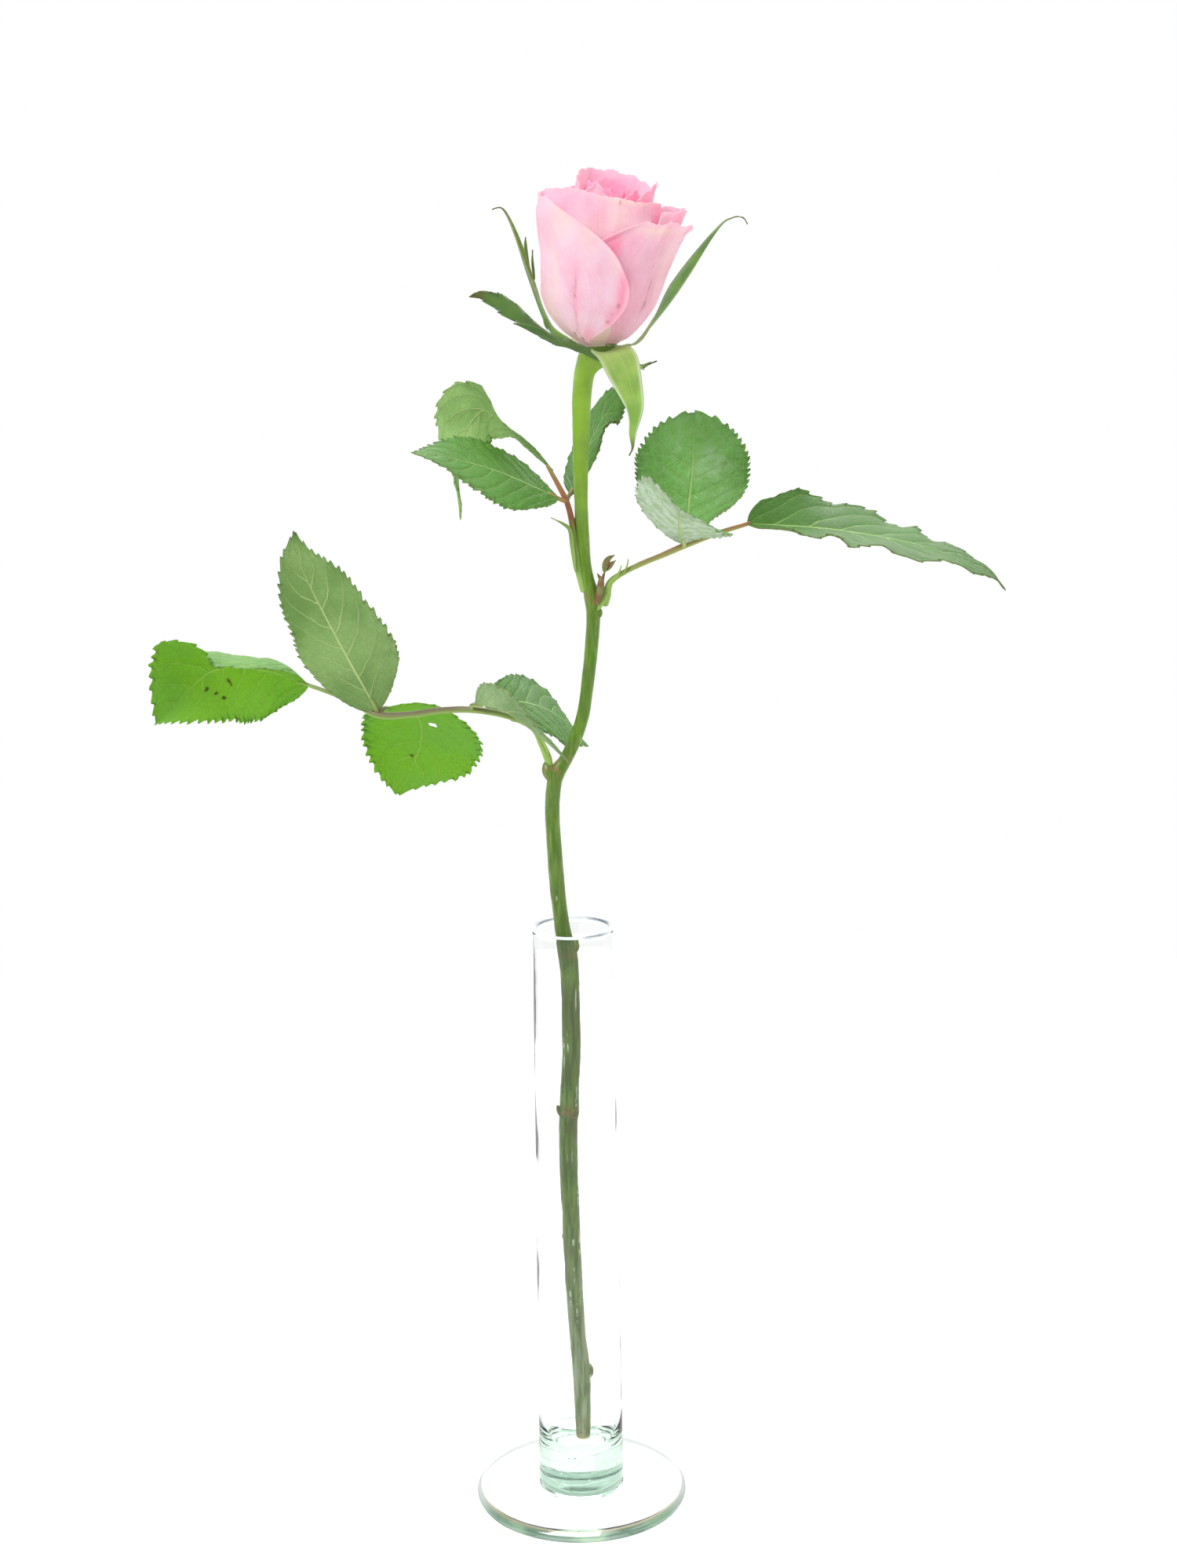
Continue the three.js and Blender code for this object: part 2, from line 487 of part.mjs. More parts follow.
/** Grid of points on a blade's middle surface. */
function bladeGrid(spec, stations, columns, toothDepth, leastHalfWidth) {
  const curve = line(spec.spine);
  const up = new THREE.Vector3(...spec.up);
  const zero = [0];
  const grid = [];
  for (let i = 0; i <= stations; i += 1) {
    const t = i / stations;
    const middle = curve.getPointAt(t);
    const along = curve.getTangentAt(t);
    const normal = up.clone().addScaledVector(along, -up.dot(along)).normalize();
    const left = normal.clone().cross(along);
    const roll = knot(spec.roll, t) * DEG;
    const face = normal.clone().multiplyScalar(Math.cos(roll)).addScaledVector(left, Math.sin(roll));
    const side = face.clone().cross(along);
    const profile = bladeProfile(spec, t);
    const half = Math.max((spec.width / 2) * profile, leastHalfWidth);
    const row = [];
    for (let j = 0; j <= columns; j += 1) {
      const v = (2 * j) / columns - 1;
      const isLeft = v > 0;
      const fold = knot((isLeft ? spec.foldLeft : spec.foldRight) ?? zero, t) * DEG;
      const curl = knot((isLeft ? spec.curlLeft : spec.curlRight) ?? zero, t) * DEG;
      const crease = ((isLeft && spec.creaseLeft) || 0) * DEG;
      const hinge = knot(spec.hingeLeft ?? zero, t);
      const isMargin = Math.abs(v) > 0.99;
      const spread = [[0, 0], [0.5, Math.min(hinge, 0.8)], [0.75, Math.min(hinge + CREASE_WIDTH, 0.9)], [1, 1]];
      const share = crease ? table(spread, v) : Math.abs(v);
      const reach = share * (isMargin && i % 2 === 1 ? 1 - toothDepth : 1);
      const steps = crease ? 40 : 10;
      let out = 0;
      let rise = 0;
      for (let k = 0; k < steps; k += 1) {
        const a = (reach * (k + 0.5)) / steps;
        const angle = fold + curl * a + crease * smooth((a - hinge) / CREASE_WIDTH);
        out += (Math.cos(angle) * half * reach) / steps;
        rise += (Math.sin(angle) * half * reach) / steps;
      }
      const phase = (isLeft ? spec.phaseLeft : spec.phaseRight) ?? 0;
      const turn = 2 * Math.PI * ((spec.waves ?? 0) * t + phase);
      rise += (spec.wave ?? 0) * v * v * profile * Math.sin(turn);
      row.push(middle.clone().addScaledVector(side, Math.sign(v) * out).addScaledVector(face, rise));
    }
    grid.push(row);
  }
  return grid;
}

/** A compound leaf: leaf stalk, short leaflet stalks, leaflets and stipules in one body. */
function compoundLeaf(spec) {
  return fuse([
    rod(spec.rachis, 6, Math.round(spec.rachis.length * 1.6)),
    ...spec.twigs.map((rows) => rod(rows, 5, 3)),
    ...spec.leaflets.map((leaflet) => (
      plate(bladeGrid(leaflet, LEAF_STATIONS, leaflet.columns ?? LEAF_COLUMNS, TOOTH_DEPTH, 0.5), LEAF_THICKNESS)
    )),
    ...spec.stipules.map((blade) => plate(bladeGrid(blade, 6, 4, 0, 0.4), LEAF_THICKNESS)),
  ]);
}

// ---------------------------------------------------------------- petals
const bloomBase = new THREE.Vector3(...BLOOM_BASE);
const bloomAxis = new THREE.Vector3(...BLOOM_TOP).sub(bloomBase).normalize();
const bloomRight = new THREE.Vector3(1, 0, 0);
bloomRight.addScaledVector(bloomAxis, -bloomRight.dot(bloomAxis)).normalize();
const bloomFront = bloomRight.clone().cross(bloomAxis);

/** A point of the flower: degrees round it, height above its base and radius. */
function bloomPoint(degrees, height, radius) {
  return bloomBase.clone()
    .addScaledVector(bloomAxis, height)
    .addScaledVector(bloomRight, Math.sin(degrees * DEG) * radius)
    .addScaledVector(bloomFront, Math.cos(degrees * DEG) * radius);
}

/** Grid of points on a petal's middle surface. */
function petalGrid(spec, rows, columns) {
  const grid = [];
  for (let i = 0; i <= rows; i += 1) {
    const t = i / rows;
    const row = [];
    for (let j = 0; j <= columns; j += 1) {
      const s = j / columns;
      const degrees = knot(spec.left, t) * (1 - s) + knot(spec.right, t) * s;
      const start = spec.from ?? 0;
      const height = start + (knot(spec.rise, s) - start) * t;
      const inset = knot(spec.inset, s);
      let radius = table(BLOOM_OUTLINE, height) - inset * smooth(height / 1.5);
      if (spec.mouth) radius += (knot(spec.mouth, s) - radius) * smooth(start ? (t + 0.4) / 1.2 : (t - 0.6) / 0.4);
      const curl = Math.max((t - PETAL_CURL_START) / (1 - PETAL_CURL_START), 0);
      radius += knot(spec.flare, s) * curl * curl;
      row.push(bloomPoint(degrees, height, Math.max(radius, 1.2)));
    }
    grid.push(row);
  }
  return grid;
}

function heart() {
  const rings = HEART.map(([height, radius]) => {
    const ring = [];
    for (let j = 0; j < HEART_SIDES; j += 1) ring.push(bloomPoint((360 * j) / HEART_SIDES, height, radius));
    return ring;
  });
  return ringBody(rings);
}

function bloom() {
  return filled(fuse([
    heart(),
    ...PETALS.map((spec) => {
      const rows = spec.from ? INNER_PETAL_ROWS : PETAL_ROWS;
      const columns = spec.from ? INNER_PETAL_COLUMNS : PETAL_COLUMNS;
      return plate(petalGrid(spec, rows, columns), PETAL_THICKNESS);
    }),
  ]));
}

// ---------------------------------------------------------------- parts
function vase() {
  const inner = RIM_RADIUS - WALL;
  const innerFloor = TUBE_FOOT_RADIUS - WALL - 0.1;
  const outline = [
    [0, 0], [FOOT_RADIUS - 1.6, 0], [FOOT_RADIUS - 0.5, 0.6], [FOOT_RADIUS, 2],
    [FOOT_RADIUS - 0.5, FOOT_THICKNESS - 0.6], [FOOT_RADIUS - 1.8, FOOT_THICKNESS], [24, 4.7], [18, 5.3],
    [15.8, 6.2], [14.9, 7.6], [TUBE_FOOT_RADIUS + 0.2, 10], [TUBE_FOOT_RADIUS, 16], [TUBE_FOOT_RADIUS - 0.1, 60],
    [TUBE_FOOT_RADIUS - 0.5, 120], [RIM_RADIUS, 180], [RIM_RADIUS - 0.1, 193], [RIM_RADIUS + 0.1, 198],
    [RIM_RADIUS - 0.2, 199.6], [RIM_RADIUS - 0.7, VASE_HEIGHT], [RIM_RADIUS - 1.2, 199.6], [inner, 198],
    [inner, 180], [innerFloor - 0.4, 120], [innerFloor, 60], [innerFloor, 26], [11.6, 21.6], [9.6, 19.2],
    [6, FLOOR_HEIGHT + 0.2], [0, FLOOR_HEIGHT],
  ].map(([x, y]) => new THREE.Vector2(x, y));
  const body = fromGeometry(new THREE.LatheGeometry(outline, VASE_SIDES));
  return body.rotate([90, 0, 0]);
}

function stem() {
  const knobs = STEM_KNOBS.map(({ at, radii }) => {
    const geometry = new THREE.SphereGeometry(1, 7, 4);
    geometry.scale(...radii);
    geometry.translate(...at);
    return fromGeometry(geometry);
  });
  return fuse([
    rod(STEM, STEM_SIDES, STEM_STATIONS),
    ...knobs,
    rod(SIDE_SHOOT, 6, 6),
    plate(bladeGrid(SIDE_SHOOT_LEAF, 6, 4, 0, 0.3), LEAF_THICKNESS),
  ]);
}

function calyx() {
  return fuse([
    rod(CALYX_RING, 14, 1),
    ...SEPALS.map((spec) => (
      plate(bladeGrid(spec, SEPAL_STATIONS, SEPAL_COLUMNS, 0, 0.4), SEPAL_THICKNESS))),
  ]);
}

// ---------------------------------------------------------------- scene
const MATERIALS = {
  vase: { color: 0xe6f4ee, roughness: 0.03, metalness: 0 },
  stem: { color: 0x6f9a3c, roughness: 0.5, metalness: 0 },
  calyx: { color: 0x6d9a45, roughness: 0.6, metalness: 0 },
  bloom: { color: 0xf7c3d2, roughness: 0.7, metalness: 0 },
  leaf: { color: 0x4f8a3f, roughness: 0.5, metalness: 0 },
};

function piece(name, body, look) {
  const mesh = new THREE.Mesh(toGeometry(body), new THREE.MeshStandardMaterial(MATERIALS[look]));
  mesh.name = name;
  return mesh;
}

const rose = new THREE.Group();
rose.add(
  piece('vase', vase(), 'vase'),
  piece('stem', stem(), 'stem'),
  piece('leaf_lower', compoundLeaf(LOWER_LEAF), 'leaf'),
  piece('leaf_middle', compoundLeaf(MIDDLE_LEAF), 'leaf'),
  piece('leaf_upper', compoundLeaf(UPPER_LEAF), 'leaf'),
  piece('calyx', calyx(), 'calyx'),
  piece('bloom', bloom(), 'bloom'),
);

export default rose;
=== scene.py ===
"""A cut pink rose in a slim glass bud vase: fine petals, leaves, stem and glass over the solid model.

Metres, +Z up, the front faces -Y. Tables of shape are in millimetres.
"""
import math

import bpy
import numpy as np
from bpy.props import FloatProperty, FloatVectorProperty, IntProperty, PointerProperty
from mathutils import Matrix, Vector, noise


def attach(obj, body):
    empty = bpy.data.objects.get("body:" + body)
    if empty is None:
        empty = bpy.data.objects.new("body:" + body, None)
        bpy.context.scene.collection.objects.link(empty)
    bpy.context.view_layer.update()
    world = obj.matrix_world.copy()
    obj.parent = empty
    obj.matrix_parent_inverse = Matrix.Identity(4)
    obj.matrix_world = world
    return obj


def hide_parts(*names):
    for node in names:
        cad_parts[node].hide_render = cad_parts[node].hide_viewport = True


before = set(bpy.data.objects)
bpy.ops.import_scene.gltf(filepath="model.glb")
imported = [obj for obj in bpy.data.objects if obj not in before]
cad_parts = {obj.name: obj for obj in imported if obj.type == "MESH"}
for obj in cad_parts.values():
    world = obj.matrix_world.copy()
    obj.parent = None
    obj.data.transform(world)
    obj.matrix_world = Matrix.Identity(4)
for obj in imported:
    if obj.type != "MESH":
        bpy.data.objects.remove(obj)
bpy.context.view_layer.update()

bl_info = {
    "name": "Rose in a bud vase",
    "version": (1, 0, 0),
    "blender": (4, 5, 0),
    "location": "View3D > Sidebar > Rose",
    "description": "Builds a cut rose with veined leaves and layered petals in a glass bud vase",
    "category": "Add Mesh",
}

MM = 0.001

# ---------------------------------------------------------------- shape tables (mm)
# Glass outline, radius and height, from the middle of the underside round to the inner floor.
GLASS_FOOT = [
    (0, 0), (10, 0.0), (22, 0.0), (32.4, 0.0), (33.8, 0.12), (34.8, 0.6), (35.3, 1.4), (35.4, 2.1), (35.2, 2.9),
    (34.6, 3.6), (33.6, 4.0), (32, 4.12), (27, 4.3), (22, 4.55), (18.5, 4.8), (16, 5.0), (14.6, 5.15), (13.9, 5.4),
    (13.75, 5.8), (14.0, 6.3), (14.3, 7.0), (14.38, 8), (14.34, 10),
]
GLASS_TUBE = [(14.25, 14), (14.15, 24), (14.0, 60), (13.6, 120), (13.15, 180), (13.0, 193), (13.05, 196.5)]
GLASS_RIM = [(13.15, 198), (13.15, 199.2), (12.85, 199.85), (12.4, 200), (11.95, 199.8), (11.7, 199.2), (11.7, 198)]
GLASS_INSIDE = [
    (11.75, 193), (11.75, 180), (12.2, 120), (12.6, 60), (12.6, 28), (12.3, 24), (11.5, 21.4), (10, 19.7), (8, 18.7),
    (5, 18.2), (2.5, 18.05), (0, 18),
]

# Stem rows: x, y, z and radius.
STEM = [
    (0.9, 3.2, 18.6, 2.4), (0.8, 2.7, 30, 2.7), (0.6, 1.8, 42.8, 3.0), (-0.6, 0.8, 57.5, 2.7), (-1.3, -0.1, 72, 3.0),
    (-2, -1.4, 94, 3.0), (-2.5, -2.8, 115, 3.0), (-2.4, -3.9, 134, 3.0), (-2.1, -4.3, 139, 3.2),
    (-1.6, -5.0, 150, 3.0), (-1, -5.7, 162, 3.0), (-1, -6.6, 180, 2.95), (-1.3, -7.0, 189, 3.0), (-2, -7.5, 195, 3.0),
    (-3.1, -8.0, 201, 2.5), (-4.1, -8.7, 210, 2.4), (-5.1, -9.5, 223.5, 2.35), (-5.7, -10.6, 239.5, 2.3),
    (-5.1, -11.2, 249.5, 2.35), (-3.7, -11.4, 254, 2.45), (-1.4, -11.6, 257.5, 2.15), (1.8, -12, 264, 2.1),
    (4.4, -12.6, 272, 1.95), (6, -13.2, 282, 1.95), (7.5, -14, 295, 2.05), (8.1, -14.6, 304, 2.2),
    (7.8, -14.9, 309, 2.45), (6.6, -15.3, 314.5, 2.0), (5.7, -15.6, 320, 1.9), (5.1, -16.1, 329, 2.0),
    (4.8, -16.8, 340, 2.05), (4.9, -17.6, 352, 2.35), (5.3, -18.4, 365, 2.75), (5.7, -18.8, 372, 2.9),
    (6.2, -19, 376.5, 3.05), (6.9, -19.1, 379, 3.4), (7.9, -19.2, 380.9, 4.0), (8.7, -19.3, 382, 4.5),
    (9.5, -19.4, 383.3, 4.9),
]
# Buds and leaf scars: centre, radii, and how they lean (degrees about Y).
STEM_BUDS = [
    ((-5.6, -11.3, 252.8), (1.6, 1.6, 2.4), 30), ((9.4, -14.9, 304.6), (1.5, 1.5, 2.0), -10),
    ((4.9, -15.2, 313.6), (1.0, 1.1, 1.8), 8), ((0.7, -8.0, 195.6), (1.3, 1.3, 2.4), 12),
    ((8.2, -15.3, 308.6), (2.5, 2.1, 3.0), 30), ((-6.4, -11.6, 253.6), (2.2, 2.0, 3.6), -25),
    ((-5.0, -4.8, 138.9), (1.0, 1.0, 2.4), -22), ((-2.6, -6.9, 138.8), (1.9, 0.8, 1.5), 0),
    ((-4.2, -1.2, 94), (1.2, 1.1, 1.8), 0), ((3.3, 1.6, 44), (1.4, 1.3, 2.6), 0),
    ((-0.3, -7.0, 139), (1.4, 1.1, 1.6), 0),
]
# The young side shoot: rows as in the stem, and its small leaves.
SIDE_SHOOT = [(9.4, -16, 307.4, 1.0), (10.0, -17.2, 310.5, 1.15), (10.4, -17.5, 313, 1.1), (10.7, -17.6, 315.6, 0.75)]
SIDE_SHOOT_STALK = [(11.0, -17.5, 313.6, 0.35), (11.5, -17.5, 316.6, 0.32), (12.2, -17.6, 318.6, 0.3)]
SIDE_SHOOT_LEAVES = [
    dict(
        spine=[(11.6, -17.5, 317.2), (12.2, -17.9, 319.6), (13.2, -17.7, 321.4), (14.8, -17.3, 322.5)],
        up=(-0.6, -1, 0.4), width=2.5, widest=0.45, fold=([30], [35]),
    ),
    dict(
        spine=[(11.9, -17.7, 317.8), (13.2, -18.2, 319.3), (15.1, -17.8, 320.9)], up=(0.3, -1, 0.5), width=1.9,
        widest=0.4, fold=([30], [30]),
    ),
    dict(
        spine=[(10.5, -17.5, 314.8), (10.0, -17.8, 316), (9.4, -17.8, 316.9)], up=(-0.5, -1, 0.2), width=1.0,
        widest=0.4, fold=([25], [25]),
    ),
    dict(
        spine=[(10.8, -17.5, 314.8), (11.2, -18, 315.8), (11.1, -18.1, 316.8)], up=(0.5, -1, 0.2), width=0.9,
        widest=0.4, fold=([25], [25]),
    ),
]

# Blades follow a midrib (spine). "up" is the side of the upper face, "roll" turns the blade about the
# midrib. Fold, curl and phase stand for the left and the right half: fold and curl bend it towards the
# upper face, phase shifts the waves of its margin ("wave" high, "waves" many). A crease bends the left
# half at its hinge. "thin" is how much light comes through, "tone" shifts the green, "haze" and "felt"
# pale the upper and the under face with a painted sheen, grey-green where the face would mirror the
# bright surroundings. Holes and spots are marks, and a shine is a patch of painted sheen; each sits at
# across (1 to -1), along (0 to 1) and radius in mm, a shine has its strength too.
# Stalk rows (rachis, twigs) are x, y, z and radius, "flush" is how red a stalk is along its length.
LEAVES = dict(
    leaf_lower=dict(
        rachis=[
            (-6.3, -11.3, 255.7, 1.1), (-7, -11.1, 258.6, 1.3), (-8.6, -10.6, 262.4, 1.1), (-11.6, -10, 267.8, 1.0),
            (-20.3, -9, 271.6, 1.0), (-30.2, -8, 273.2, 1.05), (-40.3, -4, 272.4, 1.0), (-50.7, 0, 270.4, 1.05),
            (-61, 4, 269.8, 1.15), (-71.5, 8, 274.4, 0.85), (-86.5, 12.6, 279.2, 0.6),
        ],
        flush=[0.0, 0.2, 0.4, 0.6, 0.85, 0.9, 0.85, 0.85, 0.9, 0.6, 0.3],
        twigs=[
            [(-30.2, -8, 273.2, 0.8), (-30.2, -10, 275, 0.7), (-27, -14, 275.6, 0.55)],
            [(-30.2, -8, 273.2, 0.8), (-29.6, -5, 274.4, 0.7), (-25, -2.6, 274.4, 0.55)],
            [(-61, 4, 269.8, 0.9), (-61.2, 4, 271.6, 0.8), (-62.6, 2.4, 275, 0.6)],
            [(-60.5, 4, 269.9, 0.9), (-59.2, 5.6, 271.4, 0.8), (-57.6, 9, 270.8, 0.6)],
        ],
        leaflets=[
            dict(
                spine=[(-83.5, 12, 278), (-98, 16.5, 282.5), (-115.5, 18.5, 282), (-132, 6.5, 267.5)], up=(0, 1, 0.3),
                roll=[5, 15, 30], width=51.5, widest=0.52, point=0.8, fold=([-25, 0, 5], [-5, 0, 25]),
                curl=([-20, -10, 20], [-5, 5, 35]), crease=-54, hinge=[0.95, 0.46, 0.21, 0.14, 0.28, 0.85, 1.3, 1.6],
                wave=1.1, phase=(0.6, 0.7), thin=0.9, tone=0.1, painted_sheen=0.35,
                spots=[
                    (-0.22, 0.64, 1.7), (-0.38, 0.6, 1.3), (-0.5, 0.57, 1.6), (-0.2, 0.5, 1.4), (-0.32, 0.49, 0.9),
                ],
            ),
            dict(
                spine=[(-61, 4, 271), (-71.5, -4, 294.5), (-82.5, -2.5, 318), (-84.5, -3, 329.5)], up=(0, 1, 0.3),
                roll=[-5, 20, 5], width=40.5, widest=0.47, point=1.2, fold=([15, 0, 0], [10, 10, 5]),
                curl=([5, -15, -10], [0, 5, -5]), wave=0.5, waves=3, phase=(0.1, 0.6), thin=0.25, tone=-0.08,
                shine=[(-0.45, 0.45, 7, 0.4), (0.3, 0.3, 9, 0.25)],
            ),
            dict(
                spine=[(-59.5, 5, 271.5), (-50, 22.5, 265.5), (-50, 35, 253), (-58, 44, 234.5)], up=(0, 1, 0.6),
                roll=[-15, -20, 15], width=43, widest=0.57, fold=([5, 0, -5], [5, 0, 5]),
                curl=([10, 0, -10], [5, 5, 5]), wave=1.3, phase=(0, 0.2), thin=1.0, tone=0.3,
                holes=[(-0.22, 0.42, 1.1)], spots=[(-0.24, 0.42, 1.9), (0.1, 0.72, 1.3), (0.85, 0.5, 1.5)],
            ),
            dict(
                spine=[(-29, -12, 275.5), (-20, -22, 275.5), (-7.5, -27, 267), (0, -30.5, 260.5)], up=(0, 0, 1),
                roll=[10, 0, 5], width=19, widest=0.33, fold=([35, 15, 15], [80, 60, 35]),
                curl=([-15, -50, -40], [0, -25, -35]), wave=0.7, phase=(0, 0.5), tone=-0.1, painted_sheen=0.3, painted_under_sheen=0.22,
            ),
            dict(
                spine=[(-28, -4, 274.5), (-14.5, 2, 273.5), (-4, 12.5, 267), (5.5, 20.5, 255.5)], up=(0, -0.3, 1),
                roll=[0, -10, 5], width=32, widest=0.5, fold=([15, 15, 10], [0, -10, -5]),
                curl=([-5, -5, -10], [-5, -15, -10]), wave=0.6, phase=(0.1, 0.5), tone=-0.3,
            ),
        ],
        stipules=[
            dict(
                spine=[(-7.2, -11, 257.6), (-9, -10.6, 262.6), (-11.4, -10, 267.4)], up=(0.6, 0.5, 0.6), width=4.6,
                widest=0.35, fold=([10], [10]),
            ),
        ],
    ),
    leaf_middle=dict(
        rachis=[
            (11.8, -14.9, 306.8, 0.9), (12.2, -14.9, 309.4, 1.3), (13.3, -14.9, 313.6, 1.0), (17, -14.8, 316.4, 0.85),
            (23.3, -14.6, 319.4, 0.85), (29.5, -14.4, 321.8, 0.85), (35.8, -14.2, 324.4, 0.95),
            (45.6, -14.1, 328, 0.8), (56.4, -14, 331.2, 0.6),
        ],
        flush=[0.0, 0.2, 0.5, 0.8, 0.9, 0.9, 0.9, 0.9, 0.9],
        twigs=[
            [(35.8, -14.2, 324.4, 0.8), (36.6, -12.2, 325, 0.7), (37.6, -8.6, 327.6, 0.55)],
            [(35.8, -14.2, 324.4, 0.8), (36.1, -16.2, 325.4, 0.7), (35.5, -20.5, 327.4, 0.55)],
        ],
        leaflets=[
            dict(
                spine=[(55.5, -14, 331), (83, -13, 328.5), (108.5, -19, 324), (128, -15.5, 316), (135, -12.5, 309.5)],
                up=(0, -0.3, 1), roll=[0, 20, 10], width=36.5, widest=0.39, fold=([40, 20, 25], [5, -10, -10]),
                curl=([15, -15, -10], [25, 5, -5]), wave=1.1, waves=5, phase=(0.3, 0.7), tone=-0.65,
                spots=[(0, 0.99, 5.0), (-0.6, 0.93, 2.5)], shine=[(0.4, 0.3, 8, 0.15)],
            ),
            dict(
                spine=[(37.5, -10, 325.5), (38, -3.5, 334), (39.5, -1, 348.5), (40, -2.5, 364)], up=(0, -1, 0.4),
                roll=[15, 5, 5], width=37, widest=0.57, blunt=0.5, point=0.55, fold=([5, 0, -5], [15, 0, -5]),
                curl=([5, 0, -5], [20, 0, -5]), wave=0.8, phase=(0.1, 0.7), thin=0.3, tone=0.55, painted_sheen=0.12,
                shine=[(-0.35, 0.62, 8, 0.32), (-0.6, 0.4, 6, 0.2), (0.35, 0.75, 7, 0.2)],
            ),
            dict(
                spine=[(36, -17, 325.5), (34.5, -26.5, 330.5), (34, -39.5, 337), (33.5, -53.5, 340)], up=(0, 0, 1),
                roll=[0, 20, 35], width=34, widest=0.55, point=0.8, fold=([10, 5, 10], [10, 15, 15]),
                curl=([0, -10, -5], [0, 5, 10]), wave=0.7, phase=(0.3, 0.8), tone=0.2, painted_under_sheen=0.85,
            ),
        ],
        stipules=[
            dict(
                spine=[
                    (9.2, -16.6, 305.4), (11.6, -17, 308.6), (13.4, -17, 313.4), (15.9, -17.2, 316.6),
                    (16.8, -17.5, 319.2),
                ],
                up=(-0.5, -0.7, 0.5), width=2.2, widest=0.4, fold=([30], [20]),
            ),
            dict(
                spine=[
                    (11, -14.6, 307), (13.4, -14.4, 313.2), (17.2, -15, 316.4), (18.4, -16, 318.2), (19, -16.4, 321),
                ],
                up=(-0.5, -0.5, 0.6), width=1.7, widest=0.4, fold=([20], [20]),
            ),
        ],
    ),
    leaf_upper=dict(
        rachis=[
            (5.2, -15.5, 311.5, 1.1), (3.8, -15.6, 318, 1.25), (3.0, -16, 324, 1.2), (2.4, -16.2, 329, 1.05),
            (1.7, -16.8, 334, 0.9), (0.4, -17.3, 339, 0.85), (-2, -17.8, 344, 0.75), (-5.2, -17.8, 350, 0.55),
        ],
        flush=[0.0, 0.0, 0.0, 0.1, 1.0, 1.0, 0.9, 0.5],
        twigs=[
            [(0.4, -17.3, 339, 0.7), (-1.4, -20.6, 340, 0.65), (-5, -23.4, 342.2, 0.55)],
            [(0.4, -17.3, 339, 0.7), (0.9, -15, 340, 0.65), (2.2, -11.8, 342.2, 0.55)],
        ],
        leaflets=[
            dict(
                spine=[(-2, -22, 340.5), (-18.5, -29.5, 349), (-32.5, -35.5, 354), (-44, -42, 356.5)],
                up=(0, -0.4, 1), roll=[5, 10, -5], width=28.5, widest=0.47, blunt=0.75,
                fold=([-10, -5, 0], [5, 5, 5]), curl=([-15, -10, 0], [-10, -5, -5]), wave=0.6, phase=(0.1, 0.9),
                tone=-0.05,
            ),
            dict(
                spine=[(-3.5, -18, 348.5), (-17.5, -15, 361), (-25.5, -4, 365.5), (-33, -1, 351.5), (-33, 1, 332.5)],
                up=(0, 1, 0.3), roll=[15, 80, 10, -55, -75], width=28.5, widest=0.66, blunt=0.8,
                fold=([35, 20, 10], [45, -25, 0]), curl=([-35, 0, 10], [-20, -70, 0]), wave=0.7, phase=(0.1, 0.6),
                thin=0.35, tone=0.5,
            ),
            dict(
                spine=[(1.5, -14, 340), (5, -3.5, 349.5), (12.5, 2.5, 363), (19.5, -0.5, 370.5)], up=(0, -1, 0.4),
                roll=[10, 55, 20], width=25, widest=0.62, blunt=0.75, fold=([-5, -5, -5], [-5, 10, 0]),
                curl=([-5, -10, -5], [-5, 15, 5]), wave=1.1, phase=(0.3, 0.9), tone=-0.3,
            ),
        ],
        stipules=[
            dict(
                spine=[
                    (2.8, -17.4, 317.5), (2.1, -17.6, 325), (1.4, -17.8, 330.2), (-0.6, -18, 332.2),
                    (-4.4, -18, 334.2),
                ],
                up=(-0.7, -0.7, 0.2), width=1.6, widest=0.45, fold=([25], [15]),
            ),
            dict(
                spine=[(3.4, -14.8, 319), (2.9, -14.6, 327), (2.9, -15, 333), (3.3, -15.2, 336)], up=(-0.7, 0.6, 0.2),
                width=1.2, widest=0.4, fold=([20], [20]),
            ),
        ],
    ),
)

